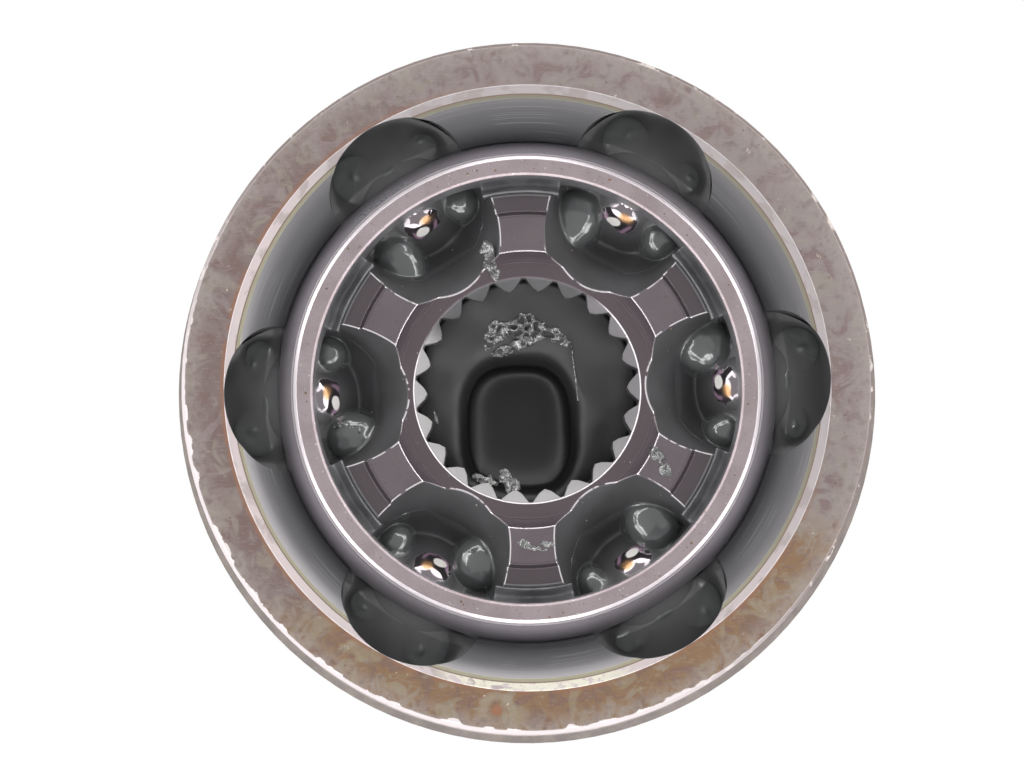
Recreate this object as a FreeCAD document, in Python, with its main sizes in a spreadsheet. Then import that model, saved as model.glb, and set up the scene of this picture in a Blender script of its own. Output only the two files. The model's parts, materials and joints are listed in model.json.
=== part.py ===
"""Outer fixed constant-velocity joint of the six-ball (Rzeppa) kind, as a parametric FreeCAD document.

Frame: the origin is the joint centre, where the middle of all six balls lies. +Z points out of the bell's
mouth, towards the half shaft; the splined stub that carries the wheel hub points down, along -Z.
All lengths are in millimetres and all angles in degrees.
"""

import FreeCAD, Part
import Sketcher
import math
import os

os.makedirs("parts", exist_ok=True)
doc = FreeCAD.newDocument("fixed_ball_joint")

# ---------------------------------------------------------------- sizes

# The driving sizes. Each can be set by itself.
DRIVING = {
    # balls and their tracks
    "ball_diameter": 15.875,  # 5/8 inch bearing ball
    "ball_count": 6,
    "ball_play": 0.12,  # gap between a ball and its tracks and window
    "pitch_radius": 27.0,  # ball centre to joint centre
    "track_offset": 4.3,  # how far each track's centre lies from the joint centre
    "track_front_angle": 75.0,  # from the track's centre plane, past the bell's mouth
    "track_rear_angle": 49.0,  # from the track's centre plane, into the bell's bowl
    "race_track_angle": 80.0,  # both ways, so the tracks run out of the race's two faces
    # inner race
    "race_sphere_radius": 24.2,
    "race_half_width": 11.3,
    "race_step_radius": 19.3,  # where the turned step in the front of the lands begins
    "race_step": 0.45,
    "hub_recess_radius": 15.3,
    "hub_recess_depth": 1.6,
    "hub_face_radius": 14.2,
    "race_rear_break": 0.5,  # edge break at the back of the lands
    # half-shaft spline in the race's bore, and the same spline outside the stub
    "spline_teeth": 22,
    "spline_module": 1.0583,  # 24 diametral pitch
    "spline_addendum": 0.5,  # in modules, as on a stub-tooth spline
    "spline_dedendum": 0.75,
    "spline_flank_slope": 0.767,  # tangent of the 37.5 degree pressure angle
    "tip_break": 0.3,  # how far down the flank a tooth's tip is broken
    "tip_break_slope": 1.4,
    "bore_chamfer": 0.14,  # lead-in beyond the tooth roots
    # snap ring that holds the half shaft in the race
    "ring_wire_diameter": 1.8,
    "ring_inset": 3.2,  # middle of the ring from the race's rear face
    "ring_reach": 0.5,  # how far the wire stands inside the tooth tips
    "ring_side_gap": 0.1,
    "ring_room": 0.5,  # room to spread behind the wire
    "ring_arc": 325.0,  # the rest of the turn is the ring's gap
    # cage
    "sphere_play": 0.1,  # race in cage, and cage in bell
    "cage_wall": 4.6,
    "cage_half_width": 13.0,
    "cage_undercut": 0.8,  # how far the cage's turned ends stand inside its bearing sphere
    "cage_bore_break": 0.25,
    "cage_lead_radius": 25.28,  # where the outer lead-in of each end begins
    "cage_lead_height": 0.3,
    "window_end_room": 1.2,  # room for a ball to swing sideways in its window
    "window_corner_radius": 5.0,
    # mouth of the bell
    "lip_height": 7.7,  # where the bearing sphere ends and the mouth flares
    "flare_height": 16.5,
    "flare_radius": 31.45,
    "mouth_step": 0.35,
    "mouth_height": 18.0,
    "mouth_inner_radius": 32.65,
    "mouth_outer_break": 0.5,
    # outside of the bell
    "boot_seat_radius": 37.3,
    "boot_groove_depth": 0.8,
    "boot_groove_low": 6.6,
    "boot_groove_width": 6.4,
    "body_radius": 39.5,
    "body_slope_top": 4.3,
    "body_top": 2.6,
    "body_bottom": -9.0,
    "neck_radius": 25.0,
    "neck_height": 2.5,
    # bowl behind the race
    "bowl_relief_depth": 21.8,  # where the bearing sphere gives way to the forged bowl
    "bowl_depth": 27.0,
    "bowl_floor_radius": 12.0,
    "bowl_floor_wall": 9.0,
    # stub
    "bearing_face_break": 0.6,
    "journal_radius": 14.5,
    "journal_length": 10.0,
    "journal_break": 0.8,
    "journal_fillet": 0.8,
    "spline_neck_width": 3.0,
    "spline_neck_radius": 10.7,
    "stub_spline_length": 38.0,
    "thread_neck_width": 3.0,
    "thread_neck_radius": 9.0,
    "thread_radius": 10.0,  # major radius of an M20 thread
    "thread_length": 22.0,
    "thread_break": 1.2,
    "centre_drill_radius": 3.0,
    "centre_drill_depth": 4.0,
    # grease in the bowl
    "grease_gap": 0.3,
    "grease_depth": 1.8,
    "grease_rise": 1.5,  # how much higher the pack stands at the wall than in the middle
    "grease_hole_radius": 6.0,
}

# Sizes that follow from the driving ones.
DERIVED = {
    "ball_radius": "ball_diameter / 2",
    "track_radius": "ball_radius + ball_play",
    "track_arc_radius": "sqrt(pitch_radius ^ 2 + track_offset ^ 2)",
    "track_lower_centre": "-track_offset",
    "ball_step_angle": "360 / ball_count",
    # spline
    "spline_pitch_radius": "spline_teeth * spline_module / 2",
    "spline_half_space": "pi * spline_module / 4",
    "tip_rise": "spline_addendum * spline_module",
    "root_rise": "spline_dedendum * spline_module",
    "knee_half_space": "spline_half_space + (tip_rise - tip_break) * spline_flank_slope",
    "open_half_space": "knee_half_space + (tip_break + tip_rise) * tip_break_slope",
    "narrow_half_space": "spline_half_space - root_rise * spline_flank_slope",
    "half_tooth_angle": "180 / spline_teeth",
    "bore_radius": "spline_pitch_radius - tip_rise",
    "bore_root_radius": "spline_pitch_radius + root_rise",
    "stub_tip_radius": "spline_pitch_radius + tip_rise",
    "stub_root_radius": "spline_pitch_radius - root_rise",
    # inner race
    "race_rear": "-race_half_width",
    "hub_face": "race_half_width - hub_recess_depth",
    "race_step_outer": "race_step_radius + race_step",
    "race_step_face": "race_half_width - race_step",
    "race_rear_edge": "race_rear + race_rear_break",
    "race_rear_radius": "sqrt(race_sphere_radius ^ 2 - race_rear_edge ^ 2) - race_rear_break",
    "chamfer_radius": "bore_root_radius + bore_chamfer",
    "chamfer_height": "chamfer_radius - bore_radius",
    "front_chamfer_start": "hub_face - chamfer_height",
    "rear_chamfer_start": "race_rear + chamfer_height",
    # snap ring
    "ring_wire_radius": "ring_wire_diameter / 2",
    "ring_middle": "race_rear + ring_inset",
    "ring_radius": "bore_radius - ring_reach + ring_wire_radius",
    "ring_groove_radius": "ring_radius + ring_wire_radius + ring_room",
    "ring_groove_low": "ring_middle - ring_wire_radius - ring_side_gap",
    "ring_groove_high": "ring_middle + ring_wire_radius + ring_side_gap",
    # cage
    "cage_inner_radius": "race_sphere_radius + sphere_play",
    "cage_outer_radius": "cage_inner_radius + cage_wall",
    "cage_bore_radius": "cage_inner_radius - cage_undercut",
    "cage_bore_start": "sqrt(cage_inner_radius ^ 2 - cage_bore_radius ^ 2)",
    "cage_break_start": "cage_half_width - cage_bore_break",
    "cage_break_radius": "cage_bore_radius + cage_bore_break",
    "cage_lead_start": "cage_half_width - cage_lead_height",
    "window_half_height": "ball_radius + ball_play",
    "window_half_length": "ball_radius + window_end_room",
    "window_corner_across": "window_half_length - window_corner_radius",
    "window_corner_up": "window_half_height - window_corner_radius",
    "window_depth": "cage_outer_radius + 1",
    # bell, inside
    "bell_sphere_radius": "cage_outer_radius + sphere_play",
    "mouth_step_radius": "flare_radius + mouth_step",
    "bowl_relief": "-bowl_relief_depth",
    "bowl_floor": "-bowl_depth",
    # bell, outside
    "mouth_outer_radius": "boot_seat_radius - mouth_outer_break",
    "mouth_break_start": "mouth_height - mouth_outer_break",
    "boot_groove_radius": "boot_seat_radius - boot_groove_depth",
    "boot_groove_floor_low": "boot_groove_low + boot_groove_depth",
    "boot_groove_high": "boot_groove_low + boot_groove_width",
    "boot_groove_floor_high": "boot_groove_high - boot_groove_depth",
    "bearing_face": "bowl_floor - bowl_floor_wall",
    "bearing_face_radius": "neck_radius - bearing_face_break",
    "neck_bottom": "bearing_face + bearing_face_break",
    "neck_top": "bearing_face + neck_height",
    # stub
    "bearing_face_inner": "journal_radius + journal_fillet",
    "journal_top": "bearing_face - journal_fillet",
    "journal_end": "bearing_face - journal_length",
    "journal_break_radius": "journal_radius - journal_break",
    "journal_break_start": "journal_end + journal_break",
    "stub_spline_start": "journal_end - spline_neck_width",
    "stub_spline_end": "stub_spline_start - stub_spline_length",
    "stub_lead_start": "stub_spline_end + stub_tip_radius - stub_root_radius",
    "thread_start": "stub_spline_end - thread_neck_width",
    "stub_end": "thread_start - thread_length",
    "thread_end": "stub_end + thread_break",
    "thread_end_radius": "thread_radius - thread_break",
    "centre_drill_tip": "stub_end + centre_drill_depth",
    "stub_cut_start": "stub_spline_start + spline_neck_width / 2",
    "stub_cut_length": "stub_spline_length + spline_neck_width",
    "stub_open_radius": "stub_tip_radius + tip_rise",
    "stub_knee_radius": "stub_tip_radius - tip_break",
    "bore_open_radius": "bore_radius - tip_rise",
    "bore_knee_radius": "bore_radius + tip_break",
    "bore_cut_start": "race_half_width + 1",
    "bore_cut_length": "2 * race_half_width + 2",
    # grease
    "grease_foot_radius": "bowl_floor_radius - grease_gap",
    "grease_middle_top": "bowl_floor + grease_depth",
    "grease_wall_top": "grease_middle_top + grease_rise",
    "grease_slope": "(sqrt(bell_sphere_radius ^ 2 - bowl_relief_depth ^ 2) - bowl_floor_radius)"
    " / (bowl_depth - bowl_relief_depth)",
    "grease_edge_radius": "grease_foot_radius + grease_slope * (grease_depth + grease_rise)",
}

sheet = doc.addObject("Spreadsheet::Sheet", "Sizes")
for row, (name, value) in enumerate(DRIVING.items(), start=1):
    sheet.set(f"A{row}", name)
    sheet.set(f"B{row}", str(value))
    sheet.setAlias(f"B{row}", name)
for row, (name, formula) in enumerate(DERIVED.items(), start=len(DRIVING) + 2):
    sheet.set(f"A{row}", name)
    sheet.set(f"B{row}", "=" + formula)
    sheet.setAlias(f"B{row}", name)
doc.recompute()


def cell(name):
    """The value of a named size; a minus sign in front turns it round."""
    if name.startswith("-"):
        return -float(getattr(sheet, name[1:]))
    return float(getattr(sheet, name))


def bound(name):
    """The expression that ties a property to a named size."""
    if name.startswith("-"):
        return "-Sizes." + name[1:]
    return "Sizes." + name


# ---------------------------------------------------------------- helpers

# a sketch's own horizontal and vertical axes; the first point of the horizontal one is its origin
X_AXIS_LINE, Y_AXIS_LINE = range(-1, -3, -1)
START, END, CENTRE = range(1, 4)
Z_UP = FreeCAD.Vector(0, 0, 1)


def origin_feature(body, role):
    """One of the planes or axes of a body's own origin."""
    return next(f for f in body.Origin.OriginFeatures if f.Role == role)


def new_body(label):
    body = doc.addObject("PartDesign::Body", label)
    body.Label = label
    return body


def new_sketch(body, name, plane, lift=None, turn=None):
    """A sketch on one of the body's origin planes, raised from it and turned by named sizes."""
    sketch = body.newObject("Sketcher::SketchObject", name)
    sketch.AttachmentSupport = [(origin_feature(body, plane), "")]
    sketch.MapMode = "FlatFace"
    if lift:
        sketch.setExpression("AttachmentOffset.Base.z", bound(lift))
    if turn:
        upright = FreeCAD.Rotation(FreeCAD.Vector(0, 0, 1), cell(turn))
        sketch.AttachmentOffset = FreeCAD.Placement(FreeCAD.Vector(0, 0, 0), upright)
        sketch.setExpression("AttachmentOffset.Rotation.Angle", bound(turn))
    return sketch


def fix(sketch, kind, geometry, point, name, title):
    """Hold one coordinate of a point, or a radius, at a named size."""
    if kind == "Radius":
        index = sketch.addConstraint(Sketcher.Constraint(kind, geometry, cell(name)))
    else:
        index = sketch.addConstraint(
            Sketcher.Constraint(kind, X_AXIS_LINE, START, geometry, point, cell(name))
        )
    sketch.renameConstraint(index, title)
    sketch.setExpression(f"Constraints.{title}", bound(name))


def hold_point(sketch, geometry, point, corner, number):
    """Hold the end of a line or arc at a corner, whose two coordinates are named sizes, 0 or free."""
    for kind, axis, name in zip(("DistanceX", "DistanceY"), (Y_AXIS_LINE, X_AXIS_LINE), corner):
        if name == "0":
            sketch.addConstraint(Sketcher.Constraint("PointOnObject", geometry, point, axis))
        elif name is not None:
            fix(sketch, kind, geometry, point, name, f"corner{number}{kind[-1]}")


def place_of(corner, radius):
    """Where a corner lies; a coordinate left free is found on the arc about the origin that ends there."""
    across, up = corner
    if across is None:
        return FreeCAD.Vector(math.sqrt(cell(radius) ** 2 - cell(up) ** 2), cell(up), 0)
    return FreeCAD.Vector(*(0 if name == "0" else cell(name) for name in corner), 0)


def arc_between(first, last, radius, centre, bulge):
    """An arc that joins two points, drawn anticlockwise. It is about centre, or else has the radius, and
    it bulges to the right (-1) or left (+1) of the way from first to last."""
    if centre is None:
        chord = last - first
        side = FreeCAD.Vector(-chord.y, chord.x, 0).normalize() * bulge
        centre = (first + last) / 2 - side * math.sqrt(radius**2 - (chord.Length / 2) ** 2)
    start, finish = (first, last) if bulge < 0 else (last, first)
    start_angle = math.atan2(start.y - centre.y, start.x - centre.x)
    finish_angle = math.atan2(finish.y - centre.y, finish.x - centre.x)
    if finish_angle < start_angle:
        finish_angle += 2 * math.pi
    circle = Part.Circle(centre, Z_UP, (first - centre).Length)
    return Part.ArcOfCircle(circle, start_angle, finish_angle)


def draw_outline(sketch, corners, arcs=None):
    """Draw a closed outline through corners. arcs maps a corner's number to the arc that leaves it:
    ("about origin", radius, bulge), ("about axis", None, bulge) or ("radius", radius, bulge)."""
    arcs = arcs or {}
    count = len(corners)
    near = {}
    for number, (kind, radius, _) in arcs.items():
        if kind == "about origin":
            near[number] = radius
            near[(number + 1) % count] = radius
    places = [place_of(corner, near.get(number)) for number, corner in enumerate(corners)]
    edges = []
    ends = []
    for number, first in enumerate(places):
        last = places[(number + 1) % count]
        kind, radius, bulge = arcs.get(number, ("line", None, -1))
        centre = None
        if kind == "line":
            edge = Part.LineSegment(first, last)
        else:
            if kind == "about origin":
                centre = FreeCAD.Vector(0, 0, 0)
            if kind == "about axis":
                rise = (last.x**2 + last.y**2 - first.x**2 - first.y**2) / (2 * (last.y - first.y))
                centre = FreeCAD.Vector(0, rise, 0)
            edge = arc_between(first, last, cell(radius) if radius else 0, centre, bulge)
        edges.append(sketch.addGeometry(edge, False))
        ends.append((START, END) if bulge < 0 else (END, START))
    for number, edge in enumerate(edges):
        following = (number + 1) % count
        joint = (edge, ends[number][1], edges[following], ends[following][0])
        sketch.addConstraint(Sketcher.Constraint("Coincident", *joint))
    for number, corner in enumerate(corners):
        hold_point(sketch, edges[number], ends[number][0], corner, number)
    for number, (kind, radius, _) in arcs.items():
        edge = edges[number]
        if kind == "about origin":
            sketch.addConstraint(Sketcher.Constraint("Coincident", edge, CENTRE, X_AXIS_LINE, START))
        if kind == "about axis":
            sketch.addConstraint(Sketcher.Constraint("PointOnObject", edge, CENTRE, Y_AXIS_LINE))
        if radius:
            fix(sketch, "Radius", edge, None, radius, f"arc{number}radius")
    doc.recompute()
    if sketch.solve() != 0:
        raise RuntimeError(f"{sketch.Label} does not solve")


def revolve(body, name, corners, arcs=None):
    """Turn an outline, drawn as (radius, height), all the way round the body's Z axis."""
    sketch = new_sketch(body, name + "_outline", "XZ_Plane")
    draw_outline(sketch, corners, arcs)
    turned = body.newObject("PartDesign::Revolution", name)
    turned.Profile = sketch
    turned.ReferenceAxis = (sketch, ["V_Axis"])
    turned.Angle = 360
    doc.recompute()
    return turned


def repeat(body, name, feature, count_name):
    """Repeat a feature evenly round the body's Z axis, as often as a named size says."""
    pattern = body.newObject("PartDesign::PolarPattern", name)
    pattern.Originals = [feature]
    pattern.Axis = (origin_feature(body, "Z_Axis"), [""])
    pattern.Angle = 360
    pattern.setExpression("Occurrences", bound(count_name))
    body.Tip = pattern
    doc.recompute()
    return pattern


def check_cut(body, before, name):
    """A cut that points away from the solid removes nothing, so the volume has to have dropped."""
    if not body.Shape.Volume < before - 1:
        raise RuntimeError(f"{name} removed nothing")


def cut_ball_tracks(body, name, centre_height, front_angle, rear_angle):
    """Cut the six ball tracks: a circle the size of the ball, swung about the track's own centre."""
    before = body.Shape.Volume
    sketch = new_sketch(body, name + "_section", "XY_Plane", lift=centre_height)
    middle = FreeCAD.Vector(cell("track_arc_radius"), 0, 0)
    circle = sketch.addGeometry(Part.Circle(middle, Z_UP, cell("track_radius")), False)
    sketch.addConstraint(Sketcher.Constraint("PointOnObject", circle, CENTRE, X_AXIS_LINE))
    fix(sketch, "DistanceX", circle, CENTRE, "track_arc_radius", "arc_radius")
    fix(sketch, "Radius", circle, None, "track_radius", "ball_size")
    groove = body.newObject("PartDesign::Groove", name)
    groove.Profile = sketch
    groove.ReferenceAxis = (sketch, ["V_Axis"])
    groove.Type = "TwoAngles"
    groove.setExpression("Angle", bound(rear_angle))
    groove.setExpression("Angle2", bound(front_angle))
    doc.recompute()
    repeat(body, name + "_set", groove, "ball_count")
    check_cut(body, before, name)


def cut_spline(body, name, height, length, open_radius, knee_radius, root_radius):
    """Cut the tooth spaces of a spline. A space widens from its root to the knee, where the broken tip of
    the tooth begins; it starts at a height and runs down by a length. All are named sizes."""
    before = body.Shape.Volume
    sketch = new_sketch(body, name + "_space", "XY_Plane", lift=height, turn="half_tooth_angle")
    corners = [
        (open_radius, "-open_half_space"),
        (knee_radius, "-knee_half_space"),
        (None, "-narrow_half_space"),
        (None, "narrow_half_space"),
        (knee_radius, "knee_half_space"),
        (open_radius, "open_half_space"),
    ]
    draw_outline(sketch, corners, {2: ("about origin", root_radius, -1)})
    pocket = body.newObject("PartDesign::Pocket", name)
    pocket.Profile = sketch
    pocket.setExpression("Length", bound(length))
    doc.recompute()
    repeat(body, name + "_set", pocket, "spline_teeth")
    check_cut(body, before, name)


# ---------------------------------------------------------------- bell and stub, one forging

def make_outer_race():
    """The bell with its six tracks, and the stub that carries the wheel hub."""
    body = new_body("outer_race")
    corners = [
        ("0", "centre_drill_tip"),
        ("centre_drill_radius", "stub_end"),
        ("thread_end_radius", "stub_end"),
        ("thread_radius", "thread_end"),
        ("thread_radius", "thread_start"),
        ("thread_neck_radius", "thread_start"),
        ("thread_neck_radius", "stub_spline_end"),
        ("stub_root_radius", "stub_spline_end"),
        ("stub_tip_radius", "stub_lead_start"),
        ("stub_tip_radius", "stub_spline_start"),
        ("spline_neck_radius", "stub_spline_start"),
        ("spline_neck_radius", "journal_end"),
        ("journal_break_radius", "journal_end"),
        ("journal_radius", "journal_break_start"),
        ("journal_radius", "journal_top"),
        ("bearing_face_inner", "bearing_face"),
        ("bearing_face_radius", "bearing_face"),
        ("neck_radius", "neck_bottom"),
        ("neck_radius", "neck_top"),
        ("body_radius", "body_bottom"),
        ("body_radius", "body_top"),
        ("boot_seat_radius", "body_slope_top"),
        ("boot_seat_radius", "boot_groove_low"),
        ("boot_groove_radius", "boot_groove_floor_low"),
        ("boot_groove_radius", "boot_groove_floor_high"),
        ("boot_seat_radius", "boot_groove_high"),
        ("boot_seat_radius", "mouth_break_start"),
        ("mouth_outer_radius", "mouth_height"),
        ("mouth_inner_radius", "mouth_height"),
        ("mouth_step_radius", "flare_height"),
        ("flare_radius", "flare_height"),
        (None, "lip_height"),
        (None, "bowl_relief"),
        ("bowl_floor_radius", "bowl_floor"),
        ("0", "bowl_floor"),
    ]
    fillet = corners.index(("journal_radius", "journal_top"))
    dome = corners.index(("neck_radius", "neck_top"))
    bearing_sphere = corners.index((None, "lip_height"))
    arcs = {
        fillet: ("radius", "journal_fillet", 1),
        dome: ("about axis", None, -1),
        bearing_sphere: ("about origin", "bell_sphere_radius", 1),
    }
    revolve(body, "bell_and_stub", corners, arcs)
    cut_ball_tracks(
        body, "bell_tracks", "track_offset", "track_front_angle", "track_rear_angle"
    )
    cut_spline(
        body,
        "stub_spline",
        "stub_cut_start",
        "stub_cut_length",
        "stub_open_radius",
        "stub_knee_radius",
        "stub_root_radius",
    )
    return body


# ---------------------------------------------------------------- inner race

def make_inner_race():
    """The star-shaped race: lands on a sphere, six tracks between them and the half shaft's spline."""
    body = new_body("inner_race")
    corners = [
        ("chamfer_radius", "race_rear"),
        ("race_rear_radius", "race_rear"),
        (None, "race_rear_edge"),
        (None, "race_step_face"),
        ("race_step_outer", "race_step_face"),
        ("race_step_radius", "race_half_width"),
        ("hub_recess_radius", "race_half_width"),
        ("hub_face_radius", "hub_face"),
        ("chamfer_radius", "hub_face"),
        ("bore_radius", "front_chamfer_start"),
        ("bore_radius", "ring_groove_high"),
        ("ring_groove_radius", "ring_groove_high"),
        ("ring_groove_radius", "ring_groove_low"),
        ("bore_radius", "ring_groove_low"),
        ("bore_radius", "rear_chamfer_start"),
    ]
    lands = corners.index((None, "race_rear_edge"))
    revolve(body, "race_blank", corners, {lands: ("about origin", "race_sphere_radius", -1)})
    cut_ball_tracks(
        body, "race_tracks", "track_lower_centre", "race_track_angle", "race_track_angle"
    )
    cut_spline(
        body,
        "bore_spline",
        "bore_cut_start",
        "bore_cut_length",
        "bore_open_radius",
        "bore_knee_radius",
        "bore_root_radius",
    )
    return body


# ---------------------------------------------------------------- cage

def make_cage():
    """The ring between the two spheres that keeps the balls in one plane, with a window for each."""
    body = new_body("cage")
    corners = [
        ("cage_break_radius", "-cage_half_width"),
        ("cage_lead_radius", "-cage_half_width"),
        (None, "-cage_lead_start"),
        (None, "cage_lead_start"),
        ("cage_lead_radius", "cage_half_width"),
        ("cage_break_radius", "cage_half_width"),
        ("cage_bore_radius", "cage_break_start"),
        (None, "cage_bore_start"),
        (None, "-cage_bore_start"),
        ("cage_bore_radius", "-cage_break_start"),
    ]
    outside = corners.index((None, "-cage_lead_start"))
    inside = corners.index((None, "cage_bore_start"))
    arcs = {
        outside: ("about origin", "cage_outer_radius", -1),
        inside: ("about origin", "cage_inner_radius", 1),
    }
    revolve(body, "cage_ring", corners, arcs)
    before = body.Shape.Volume
    sketch = new_sketch(body, "window_outline", "YZ_Plane")
    across, inner_across = "window_half_length", "window_corner_across"
    up, inner_up = "window_half_height", "window_corner_up"
    corners = [
        (across, "-" + inner_up),
        (across, inner_up),
        (inner_across, up),
        ("-" + inner_across, up),
        ("-" + across, inner_up),
        ("-" + across, "-" + inner_up),
        ("-" + inner_across, "-" + up),
        (inner_across, "-" + up),
    ]
    rounded = {number: ("radius", "window_corner_radius", -1) for number in (1, 3, 5, 7)}
    draw_outline(sketch, corners, rounded)
    window = body.newObject("PartDesign::Pocket", "window")
    window.Profile = sketch
    window.Reversed = True
    window.setExpression("Length", bound("window_depth"))
    doc.recompute()
    repeat(body, "windows", window, "ball_count")
    check_cut(body, before, "windows")
    return body


# ---------------------------------------------------------------- balls, snap ring, grease

def make_ball(number):
    """One of the bearing balls, at its place round the pitch circle."""
    body = new_body(f"ball_{number + 1}")
    sphere = body.newObject("PartDesign::AdditiveSphere", f"sphere_{number + 1}")
    sphere.setExpression("Radius", bound("ball_radius"))
    turn = f"{number} * Sizes.ball_step_angle"
    body.setExpression("Placement.Base.x", f"Sizes.pitch_radius * cos({turn})")
    body.setExpression("Placement.Base.y", f"Sizes.pitch_radius * sin({turn})")
    doc.recompute()
    return body


def make_snap_ring():
    """The open ring of round wire in the race's bore that snaps into the half shaft's groove."""
    body = new_body("snap_ring")
    sketch = new_sketch(body, "wire_section", "XZ_Plane")
    middle = FreeCAD.Vector(cell("ring_radius"), cell("ring_middle"), 0)
    circle = sketch.addGeometry(Part.Circle(middle, Z_UP, cell("ring_wire_radius")), False)
    fix(sketch, "DistanceX", circle, CENTRE, "ring_radius", "ring_size")
    fix(sketch, "DistanceY", circle, CENTRE, "ring_middle", "ring_height")
    fix(sketch, "Radius", circle, None, "ring_wire_radius", "wire_size")
    wire = body.newObject("PartDesign::Revolution", "wire")
    wire.Profile = sketch
    wire.ReferenceAxis = (sketch, ["V_Axis"])
    wire.setExpression("Angle", bound("ring_arc"))
    doc.recompute()
    return body


def make_grease_pack():
    """The grease packed into the bowl, hollowed in the middle, below everything that swings."""
    body = new_body("grease_pack")
    corners = [
        ("grease_hole_radius", "bowl_floor"),
        ("grease_foot_radius", "bowl_floor"),
        ("grease_edge_radius", "grease_wall_top"),
        ("grease_hole_radius", "grease_middle_top"),
    ]
    revolve(body, "pack", corners)
    return body


# ---------------------------------------------------------------- build, check and write

parts = [make_outer_race(), make_inner_race(), make_cage()]
parts += [make_ball(number) for number in range(int(cell("ball_count")))]
parts += [make_snap_ring(), make_grease_pack()]
doc.recompute()

for item in doc.Objects:
    if "Invalid" in item.State or "Error" in item.State:
        raise RuntimeError(f"{item.Name} did not build: {item.State}")
for part in parts:
    shape = part.Shape
    if shape.isNull() or not shape.isValid() or len(shape.Solids) != 1:
        raise RuntimeError(f"{part.Label} is not one valid solid")
    box = shape.BoundBox
    print(
        f"{part.Label:12s} {shape.Volume:10.1f} mm3, "
        f"{box.XLength:.2f} x {box.YLength:.2f} x {box.ZLength:.2f} mm, {len(shape.Faces)} faces"
    )
    shape.exportStep(f"parts/{part.Label}.step")
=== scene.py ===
# %% [markdown]
# # A six-ball joint, seen into its mouth
#
# This joint drives a steered front wheel. A bell holds six balls in curved tracks, a cage keeps the balls
# in one plane, and a splined race in the middle takes the half shaft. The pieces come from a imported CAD
# model, which is a fixed frame here: nothing of it moves or grows. This file gives every surface its
# finish, and adds what CAD leaves out: the old grease, the thread on the stub, and the light.

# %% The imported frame
import json
import math

import bmesh
import bpy
import numpy as np
from mathutils import Matrix, Vector


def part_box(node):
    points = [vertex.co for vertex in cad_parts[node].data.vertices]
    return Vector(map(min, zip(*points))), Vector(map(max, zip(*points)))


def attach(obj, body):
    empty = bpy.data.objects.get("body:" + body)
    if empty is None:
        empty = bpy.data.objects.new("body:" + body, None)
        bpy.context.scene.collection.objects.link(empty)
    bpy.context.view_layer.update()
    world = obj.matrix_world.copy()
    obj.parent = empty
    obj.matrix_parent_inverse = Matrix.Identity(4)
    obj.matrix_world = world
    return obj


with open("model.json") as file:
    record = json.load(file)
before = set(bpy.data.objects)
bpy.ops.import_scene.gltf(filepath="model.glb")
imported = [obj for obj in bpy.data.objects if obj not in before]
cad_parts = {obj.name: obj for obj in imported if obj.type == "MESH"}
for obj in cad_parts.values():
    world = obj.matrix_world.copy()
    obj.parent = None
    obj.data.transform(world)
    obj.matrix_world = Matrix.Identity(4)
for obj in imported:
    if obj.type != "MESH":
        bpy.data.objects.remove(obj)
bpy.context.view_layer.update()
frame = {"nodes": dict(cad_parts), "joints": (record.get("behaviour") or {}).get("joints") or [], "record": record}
MM = 0.001
print("nodes:", ", ".join(sorted(frame["nodes"])))

# %% [markdown]
# ## Sizes
#
# A scene stays right when the model changes if its numbers come from the model. The ball's own box gives
# its radius and how far it sits from the axis. The joint that a ball swings about in the bell gives how far
# the bell's tracks are offset, and the race's tracks are offset as far the other way. The rest is read from
# the boxes of the other pieces and from the mounts. The frame is in metres; finishes and meshes are easier
# to think about in millimetres, so every length is turned once, here, and turned back only where Blender
# takes it.

# %% Sizes read from the frame
ball_low, ball_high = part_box("ball_1")
BALL_RADIUS = (ball_high.z - ball_low.z) / 2 / MM
PITCH_RADIUS = (ball_high.x + ball_low.x) / 2 / MM
BALL_PLAY = 0.12  # between a ball and the wall of its track
BALL_COUNT = sum(name.startswith("ball_") for name in frame["nodes"])
BALL_STEP = math.tau / BALL_COUNT
joints = {joint["name"]: joint for joint in frame["joints"]}
mounts = {mount["name"]: mount for mount in frame["record"]["mounts"]}
TRACK_OFFSET = joints["ball_2_roll"]["pos_m"][2] / MM
TRACK_ARC = math.hypot(PITCH_RADIUS, TRACK_OFFSET)
TRACK_RADIUS = BALL_RADIUS + BALL_PLAY
CAGE_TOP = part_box("cage")[1].z / MM
MOUTH_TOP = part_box("outer_race")[1].z / MM
STUB_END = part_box("outer_race")[0].z / MM
SEAT_RADIUS = mounts["boot_seat"]["dims"]["r_mm"]
BEARING_FACE = mounts["bearing_shoulder"]["pos_m"][2] / MM
nut_thread = mounts["hub_nut_thread"]
THREAD_RADIUS = nut_thread["dims"]["r_mm"]
THREAD_LENGTH = nut_thread["dims"]["length_mm"]
THREAD_START = nut_thread["pos_m"][2] / MM + THREAD_LENGTH / 2
print(f"{BALL_COUNT} balls of {2 * BALL_RADIUS:.2f} mm on a circle of {2 * PITCH_RADIUS:.1f} mm")

# %% [markdown]
# ## The camera
#
# The view looks down the joint's own axis into the mouth, about three degrees off square, so that the rings
# behind the mouth shift a little against it. A long lens from 30 cm keeps the deep parts nearly as large as
# the near ones. The camera's three directions are written out and put in a matrix, which is clearer than
# turning a camera by angles when the aim is a tilt and a roll about one known point.

# %% Camera
LENS = 92.18  # millimetres, on a 36 mm sensor
CAMERA_DISTANCE = 300 * MM
CAMERA_TILT = math.radians(3.0)
CAMERA_ROLL = math.radians(1.9)
CAMERA_ASIDE = -1.70 * MM  # the line of sight passes this far beside the joint's centre
CAMERA_UP = 1.05 * MM

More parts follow.
